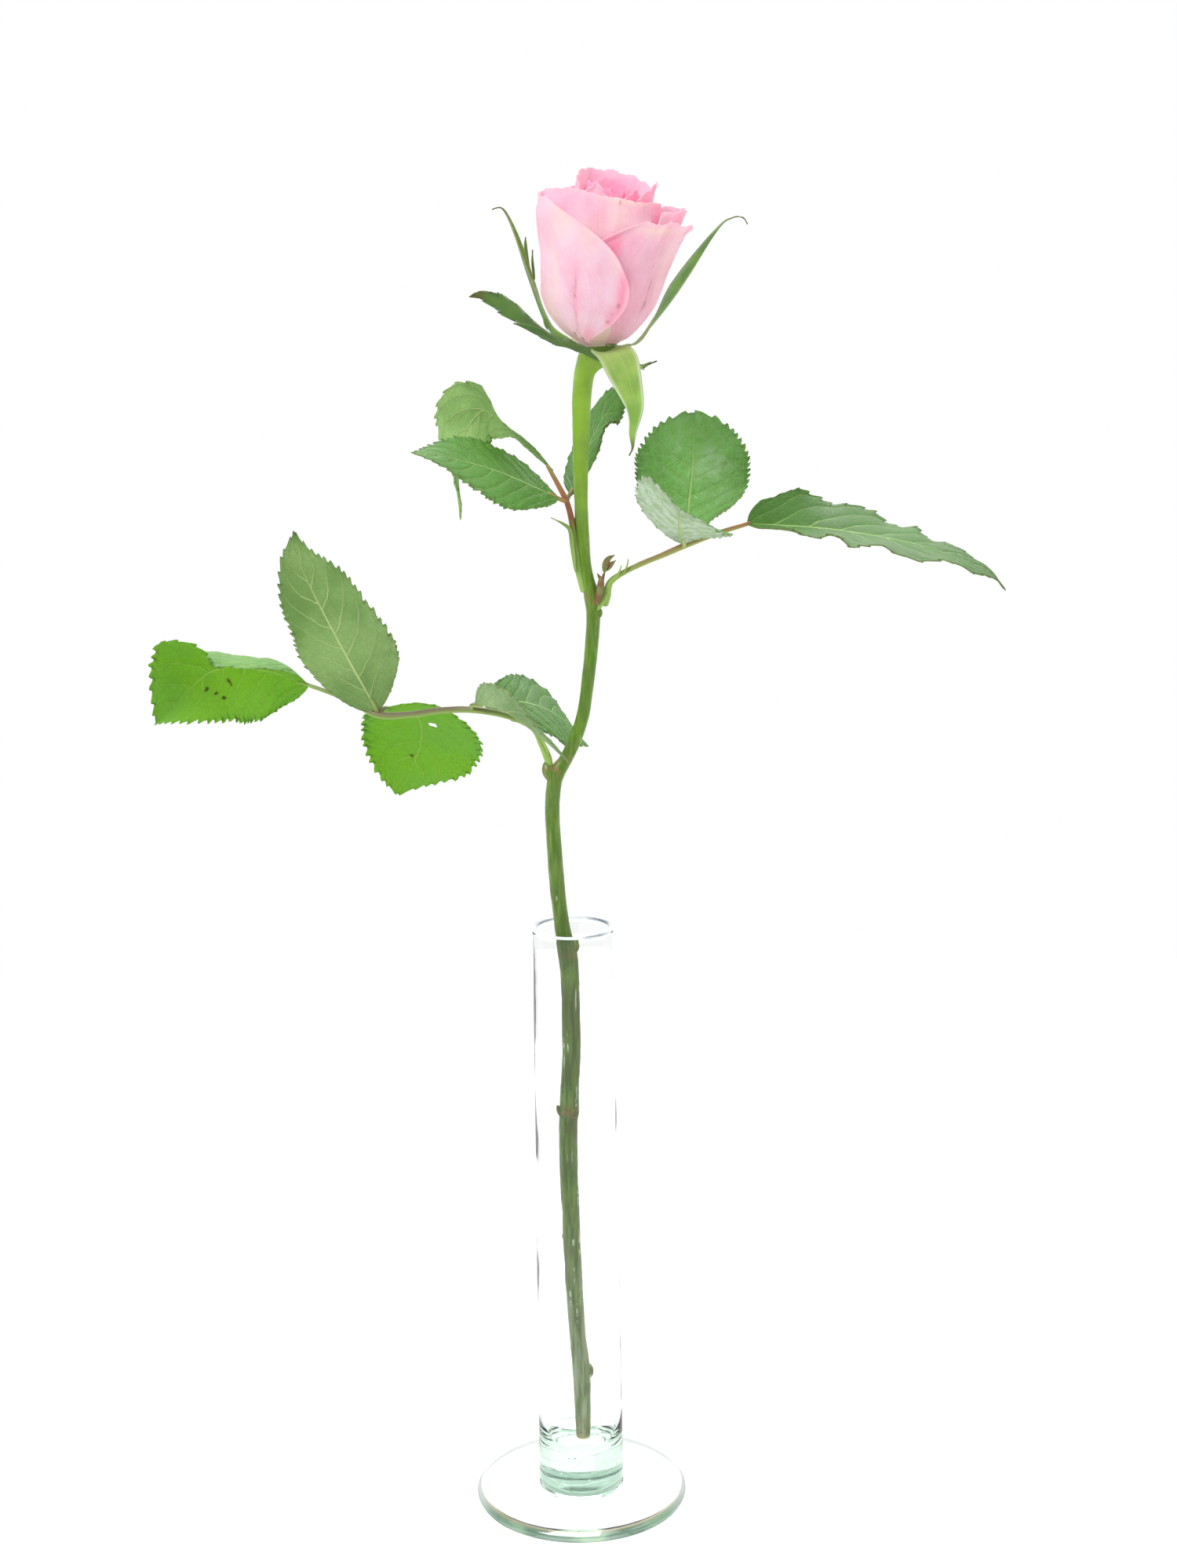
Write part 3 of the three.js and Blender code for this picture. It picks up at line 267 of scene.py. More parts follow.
# Sepals and their side lobes are blades as well, "dark" deepens the green.
CALYX_RING = [
    (9.0, -19.4, 382.2, 4.5), (9.6, -19.45, 383.4, 5.1), (10.3, -19.55, 385.1, 5.4), (10.5, -19.6, 386.9, 6.0),
]
SEPALS = [
    dict(
        spine=[
            (7.4, -17, 384.4), (1.5, -14, 386.2), (-4.4, -11.5, 390.8), (-9.8, -10, 405), (-13.9, -10, 418.4),
            (-16.4, -10, 424.6), (-18.2, -10, 426.3), (-20.5, -10, 425.8),
        ],
        up=(1, 0.2, 0), roll=[0, 0, 14, 30, 50], width=5.0, widest=0.42, point=1.3, fold=([20], [30]), dark=0.3,
    ),
    dict(
        spine=[
            (13.0, -24.4, 381.2), (10.4, -25.0, 382.6), (7.2, -25.6, 384.2), (2.6, -27, 386.4), (-3.4, -29, 388.8),
            (-11.5, -29.8, 394.6), (-18, -30.4, 399), (-23, -31.6, 401.2), (-27, -33.5, 401),
        ],
        up=(0, 1, 0.3), roll=[10, 20, 30, 10, -5], width=8.4, widest=0.62, blunt=0.45,
        fold=([5, -15, 10], [10, 10, 5]), curl=([-5, -35, -5], [5, 0, -5]), teeth=8, depth=0.55, dark=0.9,
    ),
    dict(
        spine=[
            (12.4, -18, 384.6), (17.5, -16, 385.2), (23.4, -14.2, 387.6), (34.0, -10.5, 403), (46.4, -13.4, 419),
            (51.2, -13.4, 422.3), (54.4, -12.8, 422.3), (55.8, -12.5, 420.4),
        ],
        up=(-1, -0.2, 0.3), roll=[-5, 5, 30, 40, 40], width=8.2, widest=0.36, point=2.4,
        fold=([0, -10, -10], [-5, 0, 0]), curl=([0, -15, -15], [-5, 0, 0]), dark=0.1,
    ),
    dict(
        spine=[
            (11.0, -21.8, 384.2), (16.5, -31, 382), (20.8, -43, 370.4), (20.2, -41.4, 361), (20.2, -40, 357),
            (19.2, -39.6, 354.6),
        ],
        up=(0, -1, 1), roll=[20, -25, -10], width=11, widest=0.22, fold=([0, 10, 0], [10, -5, -5]),
        curl=([0, 10, 5], [25, 15, -5]), dark=0.0,
    ),
    dict(
        spine=[
            (10.6, -17.4, 384.4), (12.6, -13.6, 384.5), (19, -4.5, 381.4), (23.6, 1, 378.2), (26.4, 0.6, 379),
            (28.7, -0.4, 379.8),
        ],
        up=(0, -0.6, 1), width=7.2, widest=0.5, point=1.8, dark=0.7, teeth=5,
    ),
    dict(
        spine=[(-9.6, -11.2, 409), (-10.4, -11.4, 412.6), (-10.7, -11.4, 415), (-10.6, -11.2, 417.6)],
        up=(0.6, -1, 0), width=1.1, widest=0.6, fold=([20], [20]), dark=1.0,
    ),
    dict(
        spine=[(-8.2, -9.6, 405), (-8.7, -9.2, 410), (-8.6, -9, 413.8)], up=(0.6, -1, 0), width=0.8, widest=0.4,
        fold=([20], [20]), dark=1.0,
    ),
    dict(
        spine=[(-5.6, -12, 393.6), (-5.0, -13, 392), (-4.5, -13, 390.2)], up=(0.3, -1, 0), width=1.1, widest=0.5,
        fold=([20], [20]), dark=1.0,
    ),
    dict(
        spine=[(-2.0, -28.6, 388), (-7.4, -31.2, 390.6), (-10.6, -31.8, 392.0), (-14.2, -31.6, 393.0)],
        up=(0.2, 1, 0.4), roll=[10], width=2.8, widest=0.4, fold=([10], [10]), dark=0.8,
    ),
]

# The bloom's axis, and its outline as height and radius.
BLOOM_BASE = (9.9, -19.6, 386.35)
BLOOM_TOP = (14.6, -21.1, 420.75)
BLOOM_OUTLINE = [
    (-1.1, 4.8), (0, 5.8), (1, 7.4), (3, 10.6), (6.5, 13.8), (10, 16), (14, 17.8), (20, 19), (25, 20.2), (30, 21.6),
    (35.5, 22.8), (41, 22.8), (47, 21.4), (54, 19),
]
# Petals: left and right margins in degrees from base to top, "rise" of the top margin from left to
# right, "inset" of each margin, "flare" of the top, and for inner ones the "mouth" radius and the height
# "start" from which they grow. "lip" rolls the margins out, "calm" below 1 quiets the waves, "grid" is
# rows and columns. Cream, blush and mark are soft patches: degrees, height, reach in degrees, reach in
# height, strength; "deep" adds deeper pink all over, more towards the base, partly the petal's own colour
# and partly painted shade of the hollow; "warm" is a painted glow from within, light the petal gives off
# though it is no lamp. Bulges: degrees, reach, height, reach, amount. Grooves: degrees, reach, depth,
# lowest, highest.
PETALS = [
    dict(
        left=[-80, -150, -172, -176, -174, -150], right=[-25, 7, 21, 22.5, 14, 1, -22, -58],
        rise=[41.4, 42.2, 41.9, 41.7, 41], inset=[1.6, -0.7], flare=[0, -0.4, -0.6], lip=0.9, calm=0.5, deep_pink_and_shade=0.0,
        grid=(76, 132), bulges=[(-95, 50, 7, 9, 1.5), (-100, 40, 38, 9, -0.9)],
        cream=[
            (-60, 0, 40, 5.5, 0.9), (-62, 8, 16, 8, 0.55), (-50, 20, 4, 13, 0.45), (-38, 36, 12, 5, 0.5),
            (-16, 32, 7, 4, 0.4), (8, 27, 5, 5, 0.3),
        ],
        blush=[
            (17, 17, 5, 10, 0.8), (12, 8, 6, 3, 0.6), (-26, 10, 4, 8, 0.3), (-88, 25, 12, 16, 0.45),
            (-12, 3, 8, 3, 0.5), (-25.4, 13, 2.2, 10, 0.5), (10, 9, 6, 2, 0.4),
        ],
        mark=[
            (-25.6, 17.4, 1.4, 4.6, 0.85), (-26.2, 14.3, 1.8, 1.0, 1.0), (-26.6, 8.5, 1.4, 5.0, 0.68),
            (-30, 4, 1.8, 1.8, 0.7), (-36, 2.9, 2.4, 0.8, 1.4), (-26, 1.8, 5, 0.7, 1.1), (15.9, 12.9, 2.6, 1.4, 0.85),
            (9, 8.0, 4, 1.0, 0.8), (12, 10.4, 1.8, 1.0, 0.7),
        ],
        grooves=[(-26.5, 2.2, 0.45, 2, 21), (-50, 3.0, 0.25, 4, 30), (-38, 6, 0.25, 28, 41), (-5, 10, 0.2, 3, 20)],
    ),
    dict(
        left=[40, 2, -24, -28, -14, 14], right=[100, 140, 150, 150, 140, 112], rise=[36.4, 38, 38, 37.4, 36.6],
        grid=(60, 104), inset=[2, 0.4], flare=[0, 0.3, 2], lip=1.3, deep_pink_and_shade=0.25, bulges=[(85, 40, 9, 8, -0.6)],
        cream=[(42, 35.4, 22, 1.4, 0.7), (66, 26, 12, 12, 0.4), (60, 1, 30, 2.4, 0.5)],
        blush=[(5, 30, 9, 5, 0.8), (20, 30, 12, 8, 0.35), (24, 6, 8, 4, 0.4)],
        mark=[
            (50.8, 19.4, 2.2, 3.8, 0.85), (51.8, 13.5, 2.8, 3.0, 0.85), (47.6, 25.4, 2.4, 2.0, 0.65),
            (42.1, 2.2, 3.0, 1.0, 0.7),
        ],
        grooves=[(51, 3.5, 0.45, 6, 28), (34, 4, 0.2, 10, 34), (70, 6, 0.3, 8, 34)],
    ),
    dict(
        left=[150, 132, 124, 126, 132, 150], right=[190, 210, 216, 216, 208, 190], rise=[39, 41.5, 42, 41.5, 40],
        grid=(36, 40), inset=[1.8, 0], flare=[1.5, 1.8, 1], lip=1.0, deep_pink_and_shade=0.1, cream=[(170, 2, 60, 5, 0.8)],
        grooves=[(165, 8, 0.3, 5, 40)],
    ),
    dict(
        left=[-30, -84, -108, -112, -110, -104], right=[30, 58, 70, 70, 60, 50],
        rise=[40.8, 43.2, 44.4, 43.5, 43.0, 43.0], inset=[2.8, 4.4], mouth=[20.8, 19.6, 17.6, 17.2, 17.4], start=-0.9,
        flare=[0], lip=0.4, deep_pink_and_shade=0.05, calm=0.4, grid=(52, 92),
        cream=[(8, 38, 12, 7, 0.42), (14, 42.8, 22, 1.2, 0.75), (0, 0, 40, 6, 0.9), (-10, 34, 14, 3, 0.35)],
        blush=[(-52, 38, 22, 6, 0.25), (-16, 36, 8, 3, 0.3), (-4, 31, 9, 2.0, 0.25), (48, 40, 11, 5, 0.6)],
        mark=[(6, 42.0, 1.8, 1.2, 0.9), (7, 39.5, 1.2, 1.6, 0.55)],
        grooves=[
            (4, 2.6, -0.3, 30, 50), (-8, 5, 0.3, 30, 46), (16, 5, 0.25, 30, 46), (-24, 5, 0.3, 34, 46),
            (34, 5, 0.2, 34, 46),
        ],
    ),
    dict(
        left=[60, 38, 34, 36, 40, 44], right=[120, 160, 170, 168, 160, 140], rise=[40.6, 41.4, 41.8, 41.8, 41.4],
        grid=(40, 56), inset=[3, 2.4], flare=[0, 1.2, 2.4], lip=0.6, deep_pink_and_shade=0.15, calm=0.4,
        blush=[(72, 39, 10, 4, 0.5)], grooves=[(62, 3, 0.4, 30, 42)],
    ),
    dict(
        left=[170, 150, 146, 148, 152, 164], right=[270, 292, 300, 300, 292, 276], rise=[41, 43, 44, 43, 42],
        grid=(36, 50), inset=[4.8, 3.2], flare=[0, -0.6, -0.6], lip=0.5, deep_pink_and_shade=0.1, cream=[(230, 2, 60, 5, 0.8)],
        grooves=[(230, 8, 0.3, 5, 42)],
    ),
    dict(
        left=[-34, -22], right=[66, 50], rise=[7, 9.6, 9.6, 9.6, 8], inset=[1.3, 2.6], flare=[0], lip=0.0, deep_pink_and_shade=0.0,
        grid=(14, 26), calm=0.2, cream=[(10, 3, 90, 9, 0.95)],
    ),
    dict(
        left=[100, 96, 108], right=[218, 232, 222], rise=[46.0, 48.2, 49.6, 50.2, 49.8], inset=[5.6, 5.2],
        mouth=[11.8], start=27, flare=[0, 0.2, 0.2], lip=0.4, deep_pink_and_shade=0.3, calm=0.5, painted_glow=0.5,
        blush=[(170, 40, 40, 5, 0.8)],
    ),
    dict(
        left=[-140, -146, -142], right=[-40, -44, -56], rise=[50.0, 49.8, 48.0, 46.2, 43.8], inset=[6.2, 5.4],
        mouth=[11.6], start=27, flare=[0, -0.6, -0.3], lip=0.6, deep_pink_and_shade=0.15, calm=0.4, painted_glow=0.5,
        blush=[(-60, 45, 14, 3, 0.5)],
    ),
    dict(
        left=[22, 26, 34], right=[118, 124, 112], rise=[43.6, 46.2, 47.8, 48.2, 46.6], inset=[6.2, 5.6], mouth=[11.6],
        start=27, flare=[0.4, 0.3, 0.2], lip=0.5, deep_pink_and_shade=0.5, calm=0.8, painted_glow=0.5, blush=[(56, 42.5, 14, 2.0, 0.8)],
    ),
    dict(
        left=[-70, -58, -46], right=[10, 0, -14], rise=[43.6, 45.2, 46.8, 45.0, 43.0], inset=[7, 7.6],
        mouth=[11.2, 9.6], start=27, flare=[1.0, 0.4, 0], lip=0.7, deep_pink_and_shade=0.0, calm=0.3, painted_glow=0.5,
        blush=[(-58, 43.5, 7, 3, 1.0), (-8, 43, 8, 1.5, 0.6)],
    ),
    dict(
        left=[126, 124, 136], right=[236, 244, 230], rise=[45, 47, 48, 47.6, 46], inset=[9, 8.4], mouth=[8.6],
        start=30, flare=[0], lip=0.3, deep_pink_and_shade=1.1, calm=0.5,
    ),
    dict(
        left=[-116, -112, -96], right=[-20, 8, -4], rise=[46.6, 46.4, 45.4, 44, 43], inset=[9.4, 8.8], mouth=[7.6],
        start=30, flare=[0], lip=0.3, deep_pink_and_shade=1.3, calm=0.5,
    ),
    dict(
        left=[16, 20, 30], right=[118, 124, 110], rise=[43, 45, 46, 46, 45], inset=[9.6, 9], mouth=[6.8], start=30,
        flare=[0], lip=0.3, deep_pink_and_shade=1.3, calm=0.5,
    ),
    dict(
        left=[-170, -168, -160], right=[20, 30, 20], rise=[45, 45.8, 45.6, 44.6, 43.4], inset=[12.2, 11.6],
        mouth=[4.4], start=34, flare=[0], lip=0.2, deep_pink_and_shade=1.5, calm=0.5,
    ),
    dict(
        left=[40, 44, 50], right=[150, 156, 146], rise=[43.6, 45, 45.6, 45.4, 44.6], inset=[12.6, 12], mouth=[4],
        start=34, flare=[0], lip=0.2, deep_pink_and_shade=1.5, calm=0.5,
    ),
    dict(
        left=[60, 64, 70], right=[280, 286, 270], rise=[44, 44.8, 45.2, 44.8, 44], inset=[15, 15], mouth=[2.4],
        start=36, flare=[0], lip=0.1, deep_pink_and_shade=1.5, calm=0.5,
    ),
]
# The closed middle: height and radius.
HEART = [
    (0, 2), (1.6, 5), (3.4, 7.4), (6, 10), (12, 12), (22, 13.4), (28, 13), (32, 10), (36, 7.4), (40, 4.8), (43, 2),
]

# ---------------------------------------------------------------- named numbers
CROWDING = 1.35  # how much denser a blade's columns stand towards its margins
VEIN_LEAN, VEIN_CURVE = 0.19, 0.12  # side veins lean forwards and curve to the tip
LEFT_SHIFT = 0.3  # veins and teeth of the left half start later by this share
VEIN_DEPTH, VEIN_WIDTH, RUFFLE = 0.26, 0.14, 0.30  # mm, share of the space between veins, mm
CREASE_WIDTH = 0.12  # share of half a blade over which a crease turns
HALF_STEPS = 80  # steps from the midrib to the margin along which a blade's bend adds up
NARROWEST = 0.12  # mm, half the width of a blade at its tips
LEAFLET_GRID, STIPULE_GRID, SEPAL_GRID, SHOOT_GRID = (230, 34), (40, 12), (130, 20), (24, 10)
PETAL_GRID = (34, 36)
STEM_ROD, RING_ROD, TWIG_ROD, SHOOT_ROD, SHOOT_STALK_ROD = (40, 420), (40, 6), (12, 16), (16, 24), (10, 16)
RACHIS_SIDES, RACHIS_STATIONS = 18, 12  # the stations are for each row of its table
SHARP_FROM, GLASS_SHARP_FROM = 50, 60  # degrees between faces from which an edge stays sharp
PETAL_START, PETAL_CENTRE = -0.9, 0.8  # mm, where outer petals begin, and nearest to the axis
CRUMPLE, RAGGED_INNER, RAGGED_OUTER = 0.42, 0.7, 0.4  # mm
LIGHT_INSIDE, LIGHT_INSIDE_DEEP, DEEP_FROM = 0.36, 1.0, 0.5  # painted glow from within, for petals that don't give their own
TOOTH_DEPTH = 0.10  # share of half the width
SEPAL_THICKNESS = 0.0004
CLOSE = 1e-7  # metres within which points are merged
LEAFLET = dict(blunt=0.7, point=0.9, waves=2, thin=0.2)  # where a leaflet says nothing else
THIN_FROM = 0.6  # a blade as thin as this lets more light through
THIN_SHARES, FIRM_SHARES = (0.5, 0.78), (0.22, 0.28)  # light through the upper and the under face
WATER_CLEAR = (0.995, 1.0, 0.997)
GLASS_IOR = 1.5
BUBBLES = 16
THREADS = ((13.6, 12.6, 1.1, 2.0), (9.6, 12.9, 1.6, 5.0))  # height, reach, sway (mm) and seed
BOWL_RIM = 28  # mm, height where the uneven inner floor ends
FOOT_EDGE_FROM, FOOT_EDGE_BOTTOM, FOOT_EDGE_TOP, RIM_FROM = 33.6, 0.05, 4.05, 199.3  # mm
THREAD_RADIUS = 0.08  # mm
STEM_SCARS = ((0.2555, 0.0055), (0.3085, 0.005), (0.1945, 0.004), (0.1390, 0.0035), (0.0225, 0.007))
LAMPS = (  # name, place, size, power
    ("back box", (0.2, 0.9, 1.2), 1.2, 12.0),
    ("key box", (-0.95, -1.0, 1.25), 0.5, 18.0),
    ("fill box", (1.3, -0.6, 0.9), 0.7, 6.0),
)
LAMP_AIM = (0, 0, 0.3)
FLOOR_RADIUS, FLOOR_LEVEL = 0.7, -0.0002
CAMERA_SIDE, CAMERA_TILT, CAMERA_ROLL = 0.0058, 12.7, -0.85  # metres, degrees, degrees


# ---------------------------------------------------------------- settings
def colour_setting(name, description, default):
    return FloatVectorProperty(
        name=name, description=description, subtype="COLOR", size=3, default=default, min=0, max=1)


class RoseVaseSettings(bpy.types.PropertyGroup):
    """Sizes and colour of the glass."""

    segments: IntProperty(name="Segments", description="Sides of the round glass", default=128, min=24, max=256)
    unevenness: FloatProperty(
        name="Unevenness", description="How far the hand-made wall wanders", default=0.00012, unit="LENGTH")
    tint: colour_setting("Glass tint", "Colour that thick glass keeps", (0.30, 0.80, 0.50))
    tint_density: FloatProperty(name="Tint density", description="Strength of the tint per metre", default=12.0)


class RoseLeafSettings(bpy.types.PropertyGroup):
    """Sizes and colours of stem and leaves."""

    thickness: FloatProperty(
        name="Blade thickness", description="Thickness of a leaf blade", default=0.00034, unit="LENGTH")
    teeth: IntProperty(name="Teeth", description="Teeth along each margin of a leaflet", default=26, min=4, max=60)
    vein_pairs: IntProperty(name="Vein pairs", description="Side veins on each half of a leaflet", default=8, min=3)
    upper: colour_setting("Upper face", "Green of the upper face", (0.092, 0.27, 0.042))
    under: colour_setting("Under face", "Green of the under face", (0.215, 0.385, 0.115))
    glow: colour_setting("Light through", "Colour of light that comes through a blade", (0.47, 0.73, 0.02))
    stem: colour_setting("Stem", "Green of the upper stem", (0.25, 0.45, 0.03))


class RosePetalSettings(bpy.types.PropertyGroup):
    """Sizes and colours of the petals."""

    thickness: FloatProperty(
        name="Petal thickness", description="Thickness of a petal", default=0.00036, unit="LENGTH")
    pink: colour_setting("Pink", "Pink of a petal", (0.77, 0.585, 0.675))
    cream: colour_setting("Cream", "Colour of margins and claws", (0.90, 0.84, 0.66))


class RoseStageSettings(bpy.types.PropertyGroup):
    """Camera and light."""

    camera_height: FloatProperty(name="Camera height", description="Height of the lens", default=0.421, unit="LENGTH")
    camera_distance: FloatProperty(
        name="Camera distance", description="Distance of the lens in front", default=0.772, unit="LENGTH")
    lens: FloatProperty(name="Lens", description="Focal length in millimetres", default=57.0, min=10, max=300)


# ---------------------------------------------------------------- numbers
def unit(vectors):
    return vectors / np.maximum(np.linalg.norm(vectors, axis=-1, keepdims=True), 1e-9)


def step_up(x):
    x = np.clip(x, 0, 1)
    return x * x * (3 - 2 * x)


def eased(values, share):
    """Smooth value at a share (0 to 1) of evenly spaced knots."""
    values = np.asarray(values, float)
    if len(values) == 1:
        return np.full(np.shape(share), values[0])
    last = len(values) - 1
    padded = np.concatenate([[2 * values[0] - values[1]], values, [2 * values[-1] - values[-2]]])
    place = np.clip(share, 0, 1) * last
    i = np.minimum(place.astype(int), last - 1)
    u = place - i
    a, b, c, d = padded[i], padded[i + 1], padded[i + 2], padded[i + 3]
    return 0.5 * (2 * b + (c - a) * u + (2 * a - 5 * b + 4 * c - d) * u ** 2 + (3 * b - a - 3 * c + d) * u ** 3)


def straight(values, share):
    """Value at a share (0 to 1) of evenly spaced knots, with straight lines between them."""
    return np.interp(share, np.linspace(0, 1, len(values)), values)


def path(rows, share):
    """Points (and any further columns) at shares of a smooth line's length, with its directions."""
    rows = np.asarray(rows, float)
    fine = np.linspace(0, 1, 40 * len(rows))
    line = np.stack([eased(column, fine) for column in rows.T], -1)
    run = np.concatenate([[0], np.cumsum(np.linalg.norm(np.diff(line[:, :3], axis=0), axis=1))])
    points = np.stack([np.interp(share * run[-1], run, column) for column in line.T], -1)
    slope = np.gradient(line[:, :3], run, axis=0)
    along = np.stack([np.interp(share * run[-1], run, column) for column in slope.T], -1)
    return points, unit(along), run[-1]


def across_places(columns):
    """Places of the columns of a blade, from 1 at the left margin to -1 at the right."""
    x = np.linspace(1, -1, columns)
    return np.sign(x) * (1 - (1 - np.abs(x)) ** CROWDING)


def blob(x, y, middle_x, middle_y, reach_x, reach_y):
    """A soft round patch."""
    return np.exp(-((x - middle_x) / reach_x) ** 2 - ((y - middle_y) / reach_y) ** 2)


def ending(x, share):
    """Rises from 0 to 1 over the last share of a range."""
    return np.clip((x - (1 - share)) / share, 0, 1) ** 2


# ---------------------------------------------------------------- blades
def blade_points(spec, grid, teeth=0, tooth_depth=0.0, pairs=0, seed=0):
    """Points of a blade: rows from base to tip, columns from the left margin to the right."""
    stations, columns = grid
    t = np.linspace(0, 1, stations + 1)
    rows = np.arange(stations + 1)
    middle, along, length = path(spec["spine"], t)
    up = np.array(spec["up"], float)
    flat = unit(up - along * (along @ up)[:, None])
    left = np.cross(flat, along)
    roll = np.radians(eased(spec.get("roll", [0]), t))[:, None]
    face = flat * np.cos(roll) + left * np.sin(roll)
    side = np.cross(face, along)
    power = math.log(0.5) / math.log(spec.get("widest", 0.42))
    blunt, point = spec.get("blunt", 0.5), spec.get("point", 1.2)
    profile = np.maximum(np.sin(np.pi * t ** power), 0) ** (blunt + (point - blunt) * t)
    half = np.maximum(spec["width"] / 2 * profile, NARROWEST)
    fade = step_up(t / 0.12)
    rng = np.random.default_rng(seed)
    v = across_places(columns + 1)
    points = np.zeros((stations + 1, columns + 1, 3))
    a = (np.arange(HALF_STEPS) + 0.5) / HALF_STEPS
    for number, sign in enumerate((1, -1)):
        fold, curl = (
            np.radians(eased(spec[key][number] if key in spec else [0], t))[:, None] for key in ("fold", "curl"))
        bend = fold + curl * a
        if sign > 0 and "crease" in spec:
            hinge = straight(spec["hinge"], t)[:, None]
            bend = bend + math.radians(spec["crease"]) * step_up((a - hinge) / CREASE_WIDTH)
        zero = np.zeros((stations + 1, 1))
        out, rise = (
            np.hstack([zero, np.cumsum(part, 1)]) * half[:, None] / HALF_STEPS for part in (np.cos(bend), np.sin(bend)))
        # each tooth leans to the tip and has a small one beside it; teeth stand closer near the base
        jitter = rng.uniform(-0.25, 0.25, teeth + 3)
        count = t ** 0.92 * teeth + LEFT_SHIFT * (sign > 0)
        count = count + np.interp(count, np.arange(teeth + 3), jitter)
        saw = np.mod(count, 1.0)
        size = 1 + np.interp(count, np.arange(teeth + 3), rng.uniform(-0.35, 0.35, teeth + 3))
        fine = np.mod(count * 2 + 0.3, 1.0)
        tooth = tooth_depth * size * (0.8 * (1 - saw ** 1.3) + 0.2 * (1 - fine))
        waves = np.sin(2 * np.pi * (spec.get("waves", 0) * t + spec.get("phase", (0, 0))[number]))
        for j in np.where(v * sign > -1e-9)[0]:
            reach = abs(v[j])
            edge = reach ** 9
            place = reach * (1 - tooth * edge * fade) * HALF_STEPS
            k = np.minimum(place.astype(int), HALF_STEPS - 1)
            f = place - k
            dx, dz = (run[rows, k] * (1 - f) + run[rows, k + 1] * f for run in (out, rise))
            dz = dz + spec.get("wave", 0) * reach ** 2 * profile * waves
            if pairs:
                vein = pairs * (t - VEIN_LEAN * reach - VEIN_CURVE * reach ** 2) + LEFT_SHIFT * (sign > 0)
                dent = np.exp(-((vein - np.round(vein)) / VEIN_WIDTH) ** 2)
                dz = dz - VEIN_DEPTH * dent * profile * step_up(reach / 0.1) * (1 - 0.6 * reach)
                dz = dz + RUFFLE * profile * reach ** 4 * np.sin(2 * np.pi * (count * 0.5 + 0.2))
            points[:, j] = (
                middle + side * (sign * dx)[:, None] + face * dz[:, None]
                + along * (edge * (saw - 0.4) * 1.6 * fade * (teeth > 0))[:, None])
    return points, length


# ---------------------------------------------------------------- work on meshes
def deselect():
    if bpy.context.object and bpy.context.object.mode != "OBJECT":
        bpy.ops.object.mode_set(mode="OBJECT")
    bpy.ops.object.select_all(action="DESELECT")


def smooth(degrees=SHARP_FROM):
    bpy.ops.object.shade_smooth_by_angle(angle=math.radians(degrees))


def paint(piece, name, values):
    """Stores one number a vertex under a name that a material reads."""
    layer = piece.data.attributes.new(name, "FLOAT", "POINT")
    layer.data.foreach_set("value", np.asarray(values, np.float32).ravel())


def shaped_grid(points, material=None):
    """A grid of faces shaped to rows and columns of points in millimetres."""
    rows, columns = points.shape[:2]
    deselect()
    bpy.ops.mesh.primitive_grid_add(x_subdivisions=columns - 1, y_subdivisions=rows - 1, size=1)
    piece = bpy.context.object
    piece.data.vertices.foreach_set("co", (points * MM).ravel())
    if material:
        piece.data.materials.append(material)
    return piece


def close_up():
    """Merges what meets and turns the faces outwards."""
    bpy.ops.object.mode_set(mode="EDIT")
    bpy.ops.mesh.select_mode(type="VERT")
    bpy.ops.mesh.select_all(action="SELECT")
    bpy.ops.mesh.remove_doubles(threshold=CLOSE)
    bpy.ops.mesh.normals_make_consistent(inside=False)
    bpy.ops.object.mode_set(mode="OBJECT")


def cut_out(piece, holes):
    """Deletes the faces that touch a vertex marked as hole."""
    bpy.ops.object.mode_set(mode="EDIT")
    bpy.ops.mesh.select_mode(type="FACE")
    bpy.ops.mesh.select_all(action="DESELECT")
    bpy.ops.object.mode_set(mode="OBJECT")
    for poly in piece.data.polygons:
        poly.select = any(holes[k] for k in poly.vertices)
    bpy.ops.object.mode_set(mode="EDIT")
    bpy.ops.mesh.delete(type="FACE")
    bpy.ops.object.mode_set(mode="OBJECT")


def sheet(points, thickness, materials, marks=None, holes=None):
    """A thin closed blade: a grid shaped to the points, then thickened."""
    piece = shaped_grid(points)
    for name, values in (marks or {}).items():
        paint(piece, name, np.broadcast_to(values, points.shape[:2]))
    if holes is not None and holes.any():
        cut_out(piece, holes.ravel())
    for material in materials:
        piece.data.materials.append(material)
    bpy.ops.object.modifier_add(type="SOLIDIFY")
    wall = piece.modifiers[-1]
    wall.thickness = thickness
    wall.offset = 0
    wall.material_offset = wall.material_offset_rim = len(materials) - 1
    bpy.ops.object.modifier_apply(modifier=wall.name)
    smooth()
    return piece


